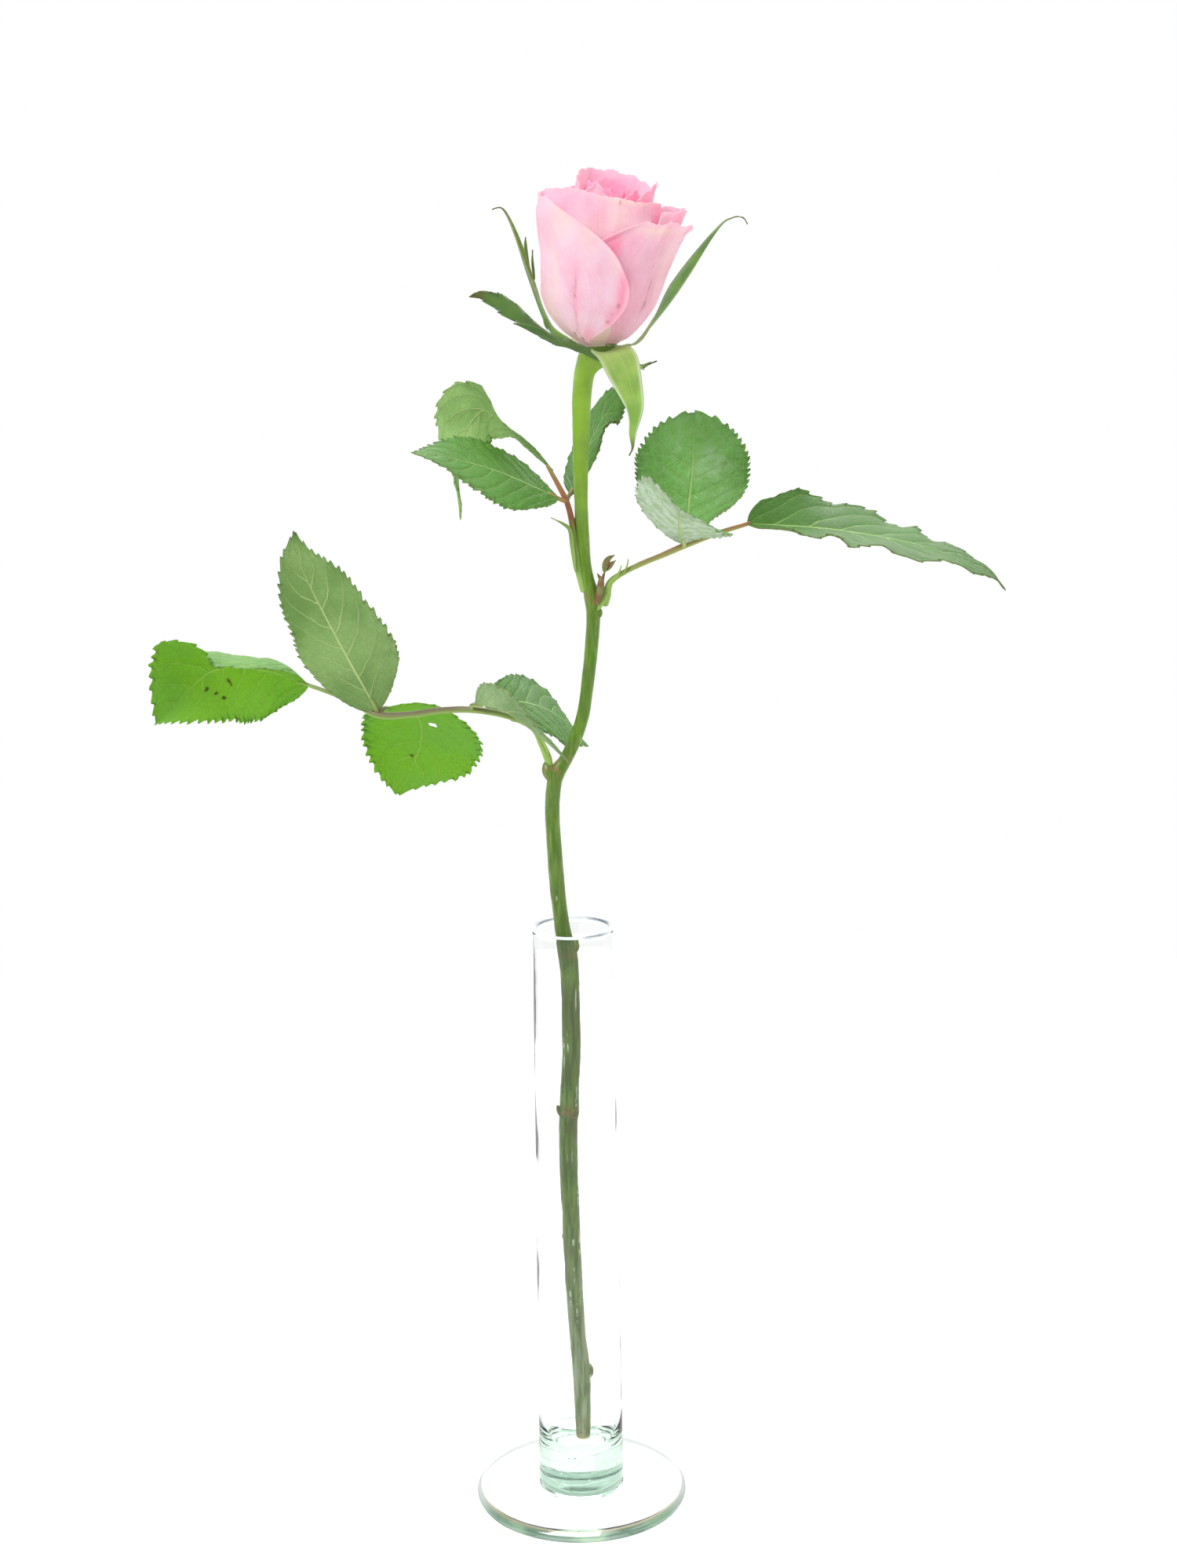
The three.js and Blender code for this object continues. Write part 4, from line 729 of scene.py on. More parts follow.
def rod(rows, sides, stations, material, wobble=0.0, rounded=True, flush=None):
    """A closed round rod along rows of x, y, z, radius: a grid rolled up, its ends drawn together."""
    points, along, _ = path(rows, np.linspace(0, 1, stations + 1))
    centre, radius = points[:, :3], points[:, 3]
    first = np.array([0.0, 1.0, 0.0]) if abs(along[0][1]) < 0.8 else np.array([1.0, 0.0, 0.0])
    across = []
    for direction in along:
        first = first - direction * (direction @ first)
        first = first / np.linalg.norm(first)
        across.append(first)
    across = np.array(across)
    other = np.cross(along, across)
    turn = np.linspace(0, 2 * np.pi, sides + 1)
    grow = np.ones((stations + 1, sides + 1))
    if wobble:
        for i, c in enumerate(centre):
            for j in range(sides):
                spot = c + (across[i] * math.cos(turn[j]) + other[i] * math.sin(turn[j])) * radius[i]
                grow[i, j] += wobble * (noise.noise(Vector(spot * 0.16)) + 0.4 * noise.noise(Vector(spot * 0.7)))
            grow[i, sides] = grow[i, 0]
    rings = (
        centre[:, None] + across[:, None] * (np.cos(turn) * radius[:, None] * grow)[..., None]
        + other[:, None] * (np.sin(turn) * radius[:, None] * grow)[..., None])
    caps = []
    for end, sign in ((0, -1), (-1, 1)):
        cap = []
        for s in (0.35, 0.7, 0.9, 1.0) if rounded else (1.0,):
            shrink = math.sqrt(max(1 - s * s, 0)) if rounded else 0
            push = sign * radius[end] * s * 0.6 if rounded else 0
            cap.append(centre[end] + (rings[end] - centre[end]) * shrink + along[end] * push)
        caps.append(np.array(cap))
    grid = np.concatenate([caps[0][::-1], rings, caps[1]])
    piece = shaped_grid(grid, material)
    if flush is not None:
        ends = np.clip((np.arange(len(grid)) - len(caps[0])) / stations, 0, 1)
        paint(piece, "flush", np.repeat(straight(flush, ends), sides + 1))
    close_up()
    smooth()
    return piece


def bud(at, radii, lean, material):
    """A small pointed swelling."""
    deselect()
    bpy.ops.mesh.primitive_uv_sphere_add(segments=20, ring_count=14, radius=1)
    piece = bpy.context.object
    for vertex in piece.data.vertices:
        narrow = 1 - 0.35 * max(vertex.co.z, 0) ** 2
        vertex.co.x *= narrow
        vertex.co.y *= narrow
    piece.data.transform(
        Matrix.Translation(Vector(at) * MM) @ Matrix.Rotation(math.radians(lean), 4, "Y")
        @ Matrix.Diagonal((*(radius * MM for radius in radii), 1)))
    piece.data.materials.append(material)
    bpy.ops.object.shade_smooth()
    return piece


def join(name, parts, node):
    """One finished piece from its parts: named, riding on the model and standing for its solid."""
    deselect()
    for part in parts:
        part.select_set(True)
    bpy.context.view_layer.objects.active = parts[0]
    if len(parts) > 1:
        bpy.ops.object.join()
    piece = bpy.context.object
    piece.name = name
    piece.data.name = name
    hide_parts(node)
    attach(piece, "root")
    return piece


# ---------------------------------------------------------------- materials
def plug(tree, node, links):
    """Links each value that is a socket and sets any other on the node's input."""
    for key, value in links.items():
        if isinstance(value, bpy.types.NodeSocket):
            tree.links.new(value, node.inputs[key])
        else:
            node.inputs[key].default_value = value
    return node


def wire(tree, kind, links=None, **values):
    """Adds a node with its settings and plugs in its links."""
    node = tree.nodes.new(kind)
    for key, value in values.items():
        setattr(node, key, value)
    return plug(tree, node, links or {})


def calc(tree, operation, a, b=0.0, clamp=False):
    return wire(tree, "ShaderNodeMath", {0: a, 1: b}, operation=operation, use_clamp=clamp).outputs[0]


def times(tree, a, b, clamp=False):
    return calc(tree, "MULTIPLY", a, b, clamp)


def plus(tree, a, b):
    return calc(tree, "ADD", a, b)


def ramp(tree, value, low, high, to_low=0, to_high=1):
    """Smooth change of a value between two limits."""
    return wire(
        tree, "ShaderNodeMapRange",
        {"Value": value, "From Min": low, "From Max": high, "To Min": to_low, "To Max": to_high},
        interpolation_type="SMOOTHSTEP").outputs["Result"]


def rgba(colour):
    """A colour with its alpha; a socket stays as it is."""
    return colour if isinstance(colour, bpy.types.NodeSocket) else (*colour[:3], 1.0)


def mix(tree, factor, a, b):
    """Colour between two colours."""
    return wire(tree, "ShaderNodeMix", {0: factor, 6: rgba(a), 7: rgba(b)}, data_type="RGBA").outputs[2]


def tint(tree, colour, mask, strength, other):
    """Mixes another colour in where a mask is, with some strength."""
    return mix(tree, times(tree, mask, strength), colour, other)


def blend(tree, factor, a, b):
    """Number between two numbers."""
    return wire(tree, "ShaderNodeMix", {0: factor, 2: a, 3: b}).outputs[0]


def noise_value(tree, vector, scale, detail=3.0, roughness=0.55):
    return wire(
        tree, "ShaderNodeTexNoise",
        {"Vector": vector, "Scale": scale, "Detail": detail, "Roughness": roughness}).outputs["Fac"]


def wander(tree, vector, scale, amount, detail=3.0):
    """Noise around zero."""
    return times(tree, calc(tree, "SUBTRACT", noise_value(tree, vector, scale, detail), 0.5), amount)


def stretched(tree, vector, scale):
    return wire(tree, "ShaderNodeMapping", {"Vector": vector, "Scale": scale}).outputs["Vector"]


def split(tree, vector):
    return wire(tree, "ShaderNodeSeparateXYZ", {0: vector}).outputs


def attribute(tree, name):
    return wire(tree, "ShaderNodeAttribute", attribute_name=name).outputs["Fac"]


def bump(tree, height, strength, distance):
    return wire(
        tree, "ShaderNodeBump", {"Height": height, "Strength": strength, "Distance": distance}).outputs["Normal"]


def new_material(name):
    material = bpy.data.materials.new(name)
    material.use_nodes = True
    material.node_tree.nodes.clear()
    return material, material.node_tree, wire(material.node_tree, "ShaderNodeTexCoord").outputs


def finish_material(material, surface, other=None, share=0.0, kind="ShaderNodeBsdfTranslucent", volume=None):
    """Ends a material with a surface, a share of another one (light that comes through) and what fills it."""
    tree = material.node_tree
    shader = wire(tree, "ShaderNodeBsdfPrincipled", surface).outputs[0]
    if other:
        second = wire(tree, kind, other).outputs[0]
        shader = wire(tree, "ShaderNodeMixShader", {0: share, 1: shader, 2: second}).outputs[0]
    wire(tree, "ShaderNodeOutputMaterial", {"Surface": shader, **({"Volume": volume} if volume else {})})
    return material


def new_group(name, vectors, values, outputs):
    """An empty node group with its inputs and outputs; returns it, its input sockets and its end node."""
    group = bpy.data.node_groups.new(name, "ShaderNodeTree")
    for label in vectors:
        group.interface.new_socket(label, in_out="INPUT", socket_type="NodeSocketVector")
    for label, value in values.items():
        group.interface.new_socket(label, in_out="INPUT", socket_type="NodeSocketFloat").default_value = value
    for label in outputs:
        group.interface.new_socket(label, in_out="OUTPUT", socket_type="NodeSocketFloat")
    return group, group.nodes.new("NodeGroupInput").outputs, group.nodes.new("NodeGroupOutput")


def vein_group():
    """Masks of midrib, side veins and net on a blade, and their height."""
    group, start, end = new_group(
        "Leaf veins", ("UV", "Position"), {"Pairs": 8.0}, ("Veins", "Net", "Height", "Across", "Along", "Puff"))
    place = split(group, start["UV"])
    along = place["Y"]
    signed = wire(group, "ShaderNodeMath", {0: place["X"], 1: -2.0, 2: 1.0}, operation="MULTIPLY_ADD").outputs[0]
    inner = calc(group, "SUBTRACT", 1.0, calc(group, "ABSOLUTE", signed))
    # the grid is denser towards the margins
    across = calc(group, "SUBTRACT", 1.0, calc(group, "POWER", inner, CROWDING))
    lean = plus(group, times(group, across, VEIN_LEAN), times(group, times(group, across, across), VEIN_CURVE))
    spread = plus(group, calc(group, "SUBTRACT", along, lean), wander(group, start["Position"], 130.0, 0.05, 2.0))
    shift = times(group, calc(group, "GREATER_THAN", signed, 0.0), LEFT_SHIFT)
    phase = plus(group, times(group, spread, start["Pairs"]), shift)
    near = calc(group, "ABSOLUTE", calc(group, "SUBTRACT", phase, calc(group, "ROUND", phase)))
    side = ramp(group, calc(group, "DIVIDE", near, ramp(group, across, 0, 1, 0.07, 0.035)), 0.25, 1, 1, 0)
    side = times(group, side, ramp(group, along, 0.8, 0.95, 1, 0.35))
    rib = ramp(group, calc(group, "DIVIDE", across, ramp(group, along, 0, 1, 0.044, 0.016)), 0.35, 1, 1, 0)
    fine, finer = (
        wire(group, "ShaderNodeTexVoronoi", {"Vector": start["Position"], "Scale": scale},
             feature="DISTANCE_TO_EDGE").outputs["Distance"] for scale in (420.0, 1000.0))
    finer = times(group, ramp(group, finer, 0, 0.14, 1, 0), 0.55)
    net = calc(group, "MAXIMUM", ramp(group, fine, 0, 0.09, 1, 0), finer)
    veins = calc(group, "MAXIMUM", times(group, side, 0.62), rib)
    puff = ramp(group, near, 0, 0.32)
    height = calc(group, "SUBTRACT", plus(group, veins, times(group, net, 0.28)), times(group, puff, 0.36))
    plug(group, end, {"Veins": veins, "Net": net, "Height": height, "Across": across, "Along": along, "Puff": puff})
    return group


def mottle_group():
    """Slow and fine changes of shade, and a grain height, for living surfaces."""
    group, start, end = new_group("Living surface", ("Position",), {"Coarse": 60.0, "Fine": 900.0}, ("Shade", "Grain"))
    for label, scale, detail in (("Shade", "Coarse", 4.0), ("Grain", "Fine", 2.0)):
        links = {"Vector": start["Position"], "Scale": start[scale], "Detail": detail}
        plug(group, end, {label: wire(group, "ShaderNodeTexNoise", links).outputs["Fac"]})
    return group


def place_group(tree, name, make, **links):
    """Places a node group, made at its first use."""
    return wire(tree, "ShaderNodeGroup", links, node_tree=bpy.data.node_groups.get(name) or make()).outputs


def living_material(name, **scales):
    """A new material with its coordinates and the shade and grain of a living surface."""
    material, tree, where = new_material(name)
    mottle = place_group(tree, "Living surface", mottle_group, Position=where["Object"], **scales)
    return material, tree, where, mottle["Shade"], mottle["Grain"]


def leaf_material(name, leaf, under, through):
    """Leaf face with midrib, side veins, net, marks, a pale painted sheen, painted shade in the vein grooves and light
    coming through.
    """
    found = bpy.data.materials.get(name)
    if found:
        return found
    material, tree, where, shade, grain = living_material(name)
    veins = place_group(
        tree, "Leaf veins", vein_group, UV=where["UV"], Position=where["Object"], Pairs=float(leaf.vein_pairs))
    base = leaf.under if under else leaf.upper
    colour = mix(tree, ramp(tree, shade, 0.3, 0.7), [c * 0.78 for c in base],
                 [min(c * s, 1) for c, s in zip(base, (1.5, 1.3, 1.5))])
    # painted shade: a little darker in the grooves along the veins
    hollow = calc(tree, "SUBTRACT", 1.0, ramp(tree, veins["Puff"], 0, 0.7))
    colour = tint(tree, colour, hollow, 0.08, [c * 0.5 for c in base])
    colour = tint(tree, colour, veins["Net"], 0.3 if under else 0.45,
                  [c * 0.75 if under else c * 1.9 + 0.02 for c in base])
    # painted sheen: the faces turn pale grey-green where they would mirror the bright surroundings, patchy by a noise
    painted_sheen = times(tree, attribute(tree, "painted_under_sheen" if under else "painted_sheen"), ramp(tree, shade, 0.25, 0.75, 0.55, 1.2))
    sheen_breakup = noise_value(tree, where["Object"], 420.0, 4.0, 0.7)
    painted_sheen = times(tree, painted_sheen, ramp(tree, sheen_breakup, 0.35, 0.65, 0.5, 1.4), clamp=True)
    colour = mix(tree, painted_sheen, colour, (0.58, 0.68, 0.56))
    bright = ramp(tree, attribute(tree, "tone"), -1, 1, 0.51, 1.34)
    colour = wire(tree, "ShaderNodeHueSaturation", {"Color": colour, "Value": bright}).outputs["Color"]
    colour = tint(tree, colour, veins["Veins"], 0.95, (0.50, 0.62, 0.26) if under else (0.38, 0.60, 0.19))
    colour = tint(tree, colour, ramp(tree, veins["Across"], 0.972, 1), 0.3, (0.20, 0.15, 0.05))
    patch = ramp(tree, plus(tree, attribute(tree, "mark"), wander(tree, where["Object"], 700.0, 0.9)), 0.45, 0.8)
    colour = tint(tree, colour, patch, 0.8, (0.16, 0.075, 0.02))
    relief = plus(tree, times(tree, veins["Height"], 1.0 if under else -1.0), times(tree, grain, 0.3))
    normal = bump(tree, relief, 0.8, 0.0004)
    glow = tint(tree, leaf.glow, veins["Veins"], 0.4, (0.62, 0.80, 0.2))
    glow = mix(tree, ramp(tree, shade, 0.3, 0.75, 0, 0.5), glow, (0.22, 0.5, 0.03))
    glow = tint(tree, glow, patch, 0.85, (0.12, 0.05, 0.01))
    glow = tint(tree, glow, veins["Net"], 0.3, (0.24, 0.52, 0.04))
    return finish_material(material, {
        "Base Color": colour, "Roughness": ramp(tree, shade, 0.25, 0.75, *((0.46, 0.6) if under else (0.34, 0.5))),
        "Normal": normal, "Specular IOR Level": 0.32}, {"Color": glow, "Normal": normal}, through)


def stalk_material():
    """Leaf stalks: green, flushed red and brown where their flush value says so."""
    material, tree, where, shade, grain = living_material("leaf stalk", Coarse=160.0)
    up, height = split(tree, where["Normal"])["Z"], split(tree, where["Object"])["Z"]
    green = mix(tree, shade, (0.20, 0.36, 0.05), (0.36, 0.52, 0.14))
    low = mix(tree, ramp(tree, up, -0.4, 0.4), (0.20, 0.28, 0.06), (0.12, 0.065, 0.045))
    middle = mix(tree, ramp(tree, up, -0.4, 0.5), (0.30, 0.33, 0.08), (0.25, 0.13, 0.05))
    high = mix(tree, ramp(tree, shade, 0.3, 0.7), (0.42, 0.13, 0.06), (0.30, 0.12, 0.05))
    red = mix(tree, ramp(tree, height, 0.285, 0.30), low, middle)
    red = mix(tree, ramp(tree, height, 0.3285, 0.3315), red, high)
    return finish_material(material, {
        "Base Color": mix(tree, attribute(tree, "flush"), green, red), "Roughness": 0.42,
        "Normal": bump(tree, grain, 0.3, 0.0002)})


def stem_material(leaf):
    """Stem: fresh green above; below, inside the glass, darker and duller by painted shade, with pale specks; brown
    scars at the nodes and cut end.
    """
    material, tree, where, shade, grain = living_material("rose stem", Coarse=90.0, Fine=1400.0)
    spot = where["Object"]
    height = split(tree, spot)["Z"]
    colour = mix(tree, ramp(tree, height, 0.20, 0.30), (0.075, 0.155, 0.015), (0.10, 0.22, 0.012))
    colour = mix(tree, ramp(tree, height, 0.30, 0.375), colour, leaf.stem)
    colour = mix(tree, ramp(tree, height, 0.03, 0.12), (0.15, 0.23, 0.085), colour)
    streak = stretched(tree, spot, (1.0, 1.0, 0.08))
    lines = noise_value(tree, streak, 1100.0)
    colour = tint(tree, colour, ramp(tree, lines, 0.35, 0.7), 0.34, (0.30, 0.42, 0.10))
    colour = tint(tree, colour, ramp(tree, shade, 0.35, 0.7), 0.35, (0.06, 0.11, 0.02))
    dots = wire(tree, "ShaderNodeTexVoronoi", {"Vector": streak, "Scale": 520.0}).outputs["Distance"]
    sparse = noise_value(tree, spot, 260.0, 2.0)
    speck = times(tree, ramp(tree, dots, 0.14, 0.27, 1, 0), ramp(tree, sparse, 0.45, 0.56))
    speck = times(tree, speck, ramp(tree, height, 0.19, 0.22, 1, 0.15))
    # painted shade: inside the glass the stem is darker and duller than above the rim; towards the bottom it turns
    # paler in patches
    inside = mix(tree, ramp(tree, lines, 0.35, 0.65), (0.055, 0.125, 0.006), (0.18, 0.31, 0.035))
    inside = mix(tree, ramp(tree, shade, 0.4, 0.65, 0, 0.6), inside, (0.12, 0.12, 0.03))
    patchy = ramp(tree, noise_value(tree, streak, 520.0, 4.0), 0.38, 0.60, 0.15, 1)
    inside = tint(tree, inside, ramp(tree, height, 0.02, 0.12, 0.95, 0), patchy, (0.48, 0.55, 0.38))
    colour = mix(tree, ramp(tree, height, 0.188, 0.200, 0.8, 0), colour, inside)
    colour = tint(tree, colour, speck, 0.9, (0.68, 0.74, 0.58))
    scars = 0.0
    for level, reach in STEM_SCARS:
        away = calc(tree, "ABSOLUTE", calc(tree, "SUBTRACT", height, level))
        scars = plus(tree, scars, ramp(tree, away, 0, reach, 1, 0))
    scars = times(tree, scars, ramp(tree, noise_value(tree, spot, 320.0), 0.42, 0.62))
    colour = tint(tree, colour, scars, 0.8, (0.26, 0.14, 0.06))
    colour = mix(tree, ramp(tree, height, 0.0185, 0.0215, 1, 0), colour, (0.52, 0.43, 0.18))
    relief = plus(tree, times(tree, lines, 0.6), plus(tree, times(tree, grain, 0.4), speck))
    return finish_material(material, {
        "Base Color": colour, "Roughness": ramp(tree, shade, 0.3, 0.7, 0.26, 0.42),
        "Normal": bump(tree, relief, 0.35, 0.0002),
        "Subsurface Weight": 0.15, "Subsurface Radius": (0.4, 0.8, 0.2), "Subsurface Scale": 0.002})


def bud_material():
    """Brown-red buds and shoots."""
    material, tree, _, shade, grain = living_material("bud scale", Coarse=350.0)
    return finish_material(material, {
        "Base Color": mix(tree, ramp(tree, shade, 0.35, 0.65), (0.22, 0.09, 0.045), (0.20, 0.24, 0.07)),
        "Roughness": 0.5, "Normal": bump(tree, grain, 0.4, 0.0002)})


def sepal_material(name, inside):
    """Sepal: green outside, paler and felted inside with whitish margins, darker by its dark value."""
    material, tree, where, shade, _ = living_material(name, Coarse=150.0)
    veins = place_group(tree, "Leaf veins", vein_group, UV=where["UV"], Position=where["Object"], Pairs=10.0)
    if inside:
        low, high, line, rim = (0.19, 0.36, 0.05), (0.32, 0.50, 0.09), (0.50, 0.66, 0.24), (0.74, 0.80, 0.62)
    else:
        low, high, line, rim = (0.07, 0.17, 0.06), (0.15, 0.29, 0.05), (0.24, 0.38, 0.12), (0.45, 0.50, 0.35)
    pale, felted, rough, sheen = (1.0, 0.7, 0.65, 0.35) if inside else (0.3, 0.2, 0.5, 0.1)
    colour = mix(tree, ramp(tree, shade, 0.3, 0.7), low, high)
    lines = noise_value(tree, stretched(tree, where["UV"], (26.0, 1.2, 1.0)), 1.0)
    colour = tint(tree, colour, ramp(tree, lines, 0.45, 0.7), 0.35, line)
    colour = tint(tree, colour, ramp(tree, veins["Across"], 0.72, 1), 0.8, rim)
    colour = tint(tree, colour, ramp(tree, veins["Along"], 0.1, 0.5, 0.55, 0), pale, (0.58, 0.74, 0.26))
    colour = tint(tree, colour, attribute(tree, "dark"), 0.7, (0.075, 0.145, 0.045))
    colour = tint(tree, colour, ramp(tree, veins["Along"], 0.84, 0.95), 0.85, (0.14, 0.07, 0.04))
    relief = plus(tree, times(tree, noise_value(tree, where["Object"], 2600.0, 2.0), felted), lines)
    return finish_material(material, {
        "Base Color": colour, "Roughness": rough, "Normal": bump(tree, relief, 0.45, 0.00025),
        "Sheen Weight": sheen, "Sheen Roughness": 0.4}, {"Color": (0.55, 0.80, 0.16, 1)}, 0.28)


def petal_material(petal):
    """Petal: pink with painted creamy, blushed and bruised places, fine veins, sheen, deeper pink that is partly
    painted shade of the hollow, and a painted glow from within.
    """
    material, tree, where, shade, grain = living_material("rose petal", Coarse=110.0, Fine=1600.0)
    place = split(tree, where["UV"])
    along = place["Y"]
    side = calc(tree, "ABSOLUTE", calc(tree, "SUBTRACT", times(tree, place["X"], 2.0), 1.0))
    cream, blush, deep_pink_and_shade_share, mark, painted_glow = (
        attribute(tree, name) for name in ("cream", "blush", "deep_pink_and_shade", "mark", "painted_glow"))
    deep_pink_and_shade, soft = ([c * s for c, s in zip(petal.pink, share)] for share in ((1.12, 0.50, 0.72), (1.05, 1.26, 1.20)))
    colour = mix(tree, ramp(tree, shade, 0.34, 0.66), petal.pink, soft)
    veins = noise_value(tree, stretched(tree, where["UV"], (70.0, 3.0, 1.0)), 1.0, 4.0, 0.6)
    ripples = noise_value(tree, stretched(tree, where["UV"], (5.0, 60.0, 1.0)), 1.0, 3.0, 0.6)
    colour = tint(tree, colour, ramp(tree, veins, 0.5, 0.7), 0.35, (0.97, 0.84, 0.88))
    colour = tint(tree, colour, ramp(tree, ripples, 0.52, 0.7), 0.25, (0.96, 0.70, 0.79))
    # deeper pink where blushed, on deep petals and towards their base: blush is the petal's own colour, the deep share
    # is partly its own colour and partly painted shade of the hollow
    blush_and_shade = calc(tree, "MAXIMUM", blush, times(tree, deep_pink_and_shade_share, ramp(tree, along, 1, 0.3, 0.5, 1)))
    colour = tint(tree, colour, blush_and_shade, ramp(tree, veins, 0.3, 0.7, 0.95, 0.65), deep_pink_and_shade)
    patchy = times(tree, cream, ramp(tree, veins, 0.35, 0.65, 0.7, 1), clamp=True)
    colour = mix(tree, patchy, colour, petal.cream)
    edge = calc(tree, "MAXIMUM", ramp(tree, side, 0.95, 0.995), ramp(tree, along, 0.965, 0.995))
    colour = tint(tree, colour, edge, 0.35, (0.95, 0.66, 0.66))
    patch = ramp(tree, plus(tree, mark, wander(tree, where["Object"], 900.0, 0.5)), 0.35, 1)
    colour = tint(tree, colour, patch, 0.65, (0.45, 0.22, 0.10))
    # painted glow: the petals give off a pink light of their own, as strong as their warm value, deeper pink where they
    # are blushed or deep, though they are no lamp
    painted_glow_colour = mix(tree, painted_glow, (0, 0, 0), mix(tree, blush_and_shade, (0.85, 0.50, 0.62), (0.98, 0.25, 0.46)))
    relief = plus(tree, times(tree, veins, 0.8), plus(tree, times(tree, grain, 0.3), times(tree, ripples, 0.7)))
    glow = mix(tree, blush_and_shade, (0.99, 0.66, 0.77), (0.99, 0.40, 0.55))
    glow = tint(tree, mix(tree, patchy, glow, petal.cream), patch, 0.8, (0.30, 0.13, 0.05))
    return finish_material(material, {
        "Base Color": colour, "Emission Color": painted_glow_colour, "Emission Strength": 0.42, "Roughness": 0.6,
        "Normal": bump(tree, relief, 0.7, 0.0006), "Specular IOR Level": 0.35,
        "Sheen Weight": 0.3, "Sheen Roughness": 0.45}, {"Color": glow}, 0.42)


def glass_material(vase):
    """Clear glass, green where it is thick."""
    material, tree, where = new_material("vase glass")
    soft, smear = noise_value(tree, where["Object"], 45.0, 2.0), noise_value(tree, where["Object"], 70.0, 5.0)
    filled = wire(tree, "ShaderNodeVolumeAbsorption", {"Color": rgba(vase.tint), "Density": vase.tint_density})
    return finish_material(material, {
        "Base Color": rgba(WATER_CLEAR), "Roughness": ramp(tree, smear, 0.55, 0.8, 0, 0.035),
        "Normal": bump(tree, soft, 0.08, 0.002), "Transmission Weight": 1.0, "IOR": GLASS_IOR},
        volume=filled.outputs[0])


def edge_glass_material():
    """Edge of the glass: clear glass mixed with a painted reflection, green round the front of the foot, grey arcs on
    the rim, pale elsewhere, with a faint painted glow.
    """
    material, tree, where = new_material("glass edge")
    x, y, height = split(tree, where["Object"])
    side = calc(tree, "ABSOLUTE", x)
    # painted shade: the green round the foot is patchy and darker towards the sides
    cloud = noise_value(tree, where["Object"], 55.0)
    shade = times(tree, ramp(tree, cloud, 0.40, 0.60), ramp(tree, side, 0.012, 0.03, 0.85, 0.45))
    low = mix(tree, shade, (0.15, 0.27, 0.19), (0.37, 0.57, 0.37))
    # painted reflection: a brownish band at the top of the foot's edge, pale towards the back
    low = mix(tree, ramp(tree, height, 0.0034, 0.0040), low, (0.42, 0.38, 0.22))
    low = mix(tree, ramp(tree, y, -0.024, 0), low, (0.86, 0.92, 0.90))
    # painted reflection: grey arcs at the back of the rim and at its front right, pale elsewhere
    behind = times(tree, ramp(tree, y, 0.001, 0.006), ramp(tree, side, 0, 0.008, 0.3, 1))
    corner = times(tree, ramp(tree, x, 0.001, 0.006), ramp(tree, y, -0.005, -0.010, 0, 0.9))
    high = mix(tree, calc(tree, "MAXIMUM", behind, corner), (0.88, 0.92, 0.94), (0.27, 0.32, 0.37))
    at_rim = ramp(tree, height, 0.1, 0.19)
    colour = mix(tree, at_rim, low, high)
    # an opaque painted reflection with a faint painted glow, mixed with clear glass: more at the front of the foot and
    # on the rim
    painted_reflection = {"Base Color": colour, "Roughness": 0.15, "Emission Color": colour, "Emission Strength": 0.05}
    return finish_material(
        material, {"Base Color": rgba(WATER_CLEAR), "Roughness": 0.02, "Transmission Weight": 1.0, "IOR": GLASS_IOR},
        painted_reflection, blend(tree, at_rim, ramp(tree, y, -0.024, 0.002, 0.75, 0.5), 0.82), "ShaderNodeBsdfPrincipled")


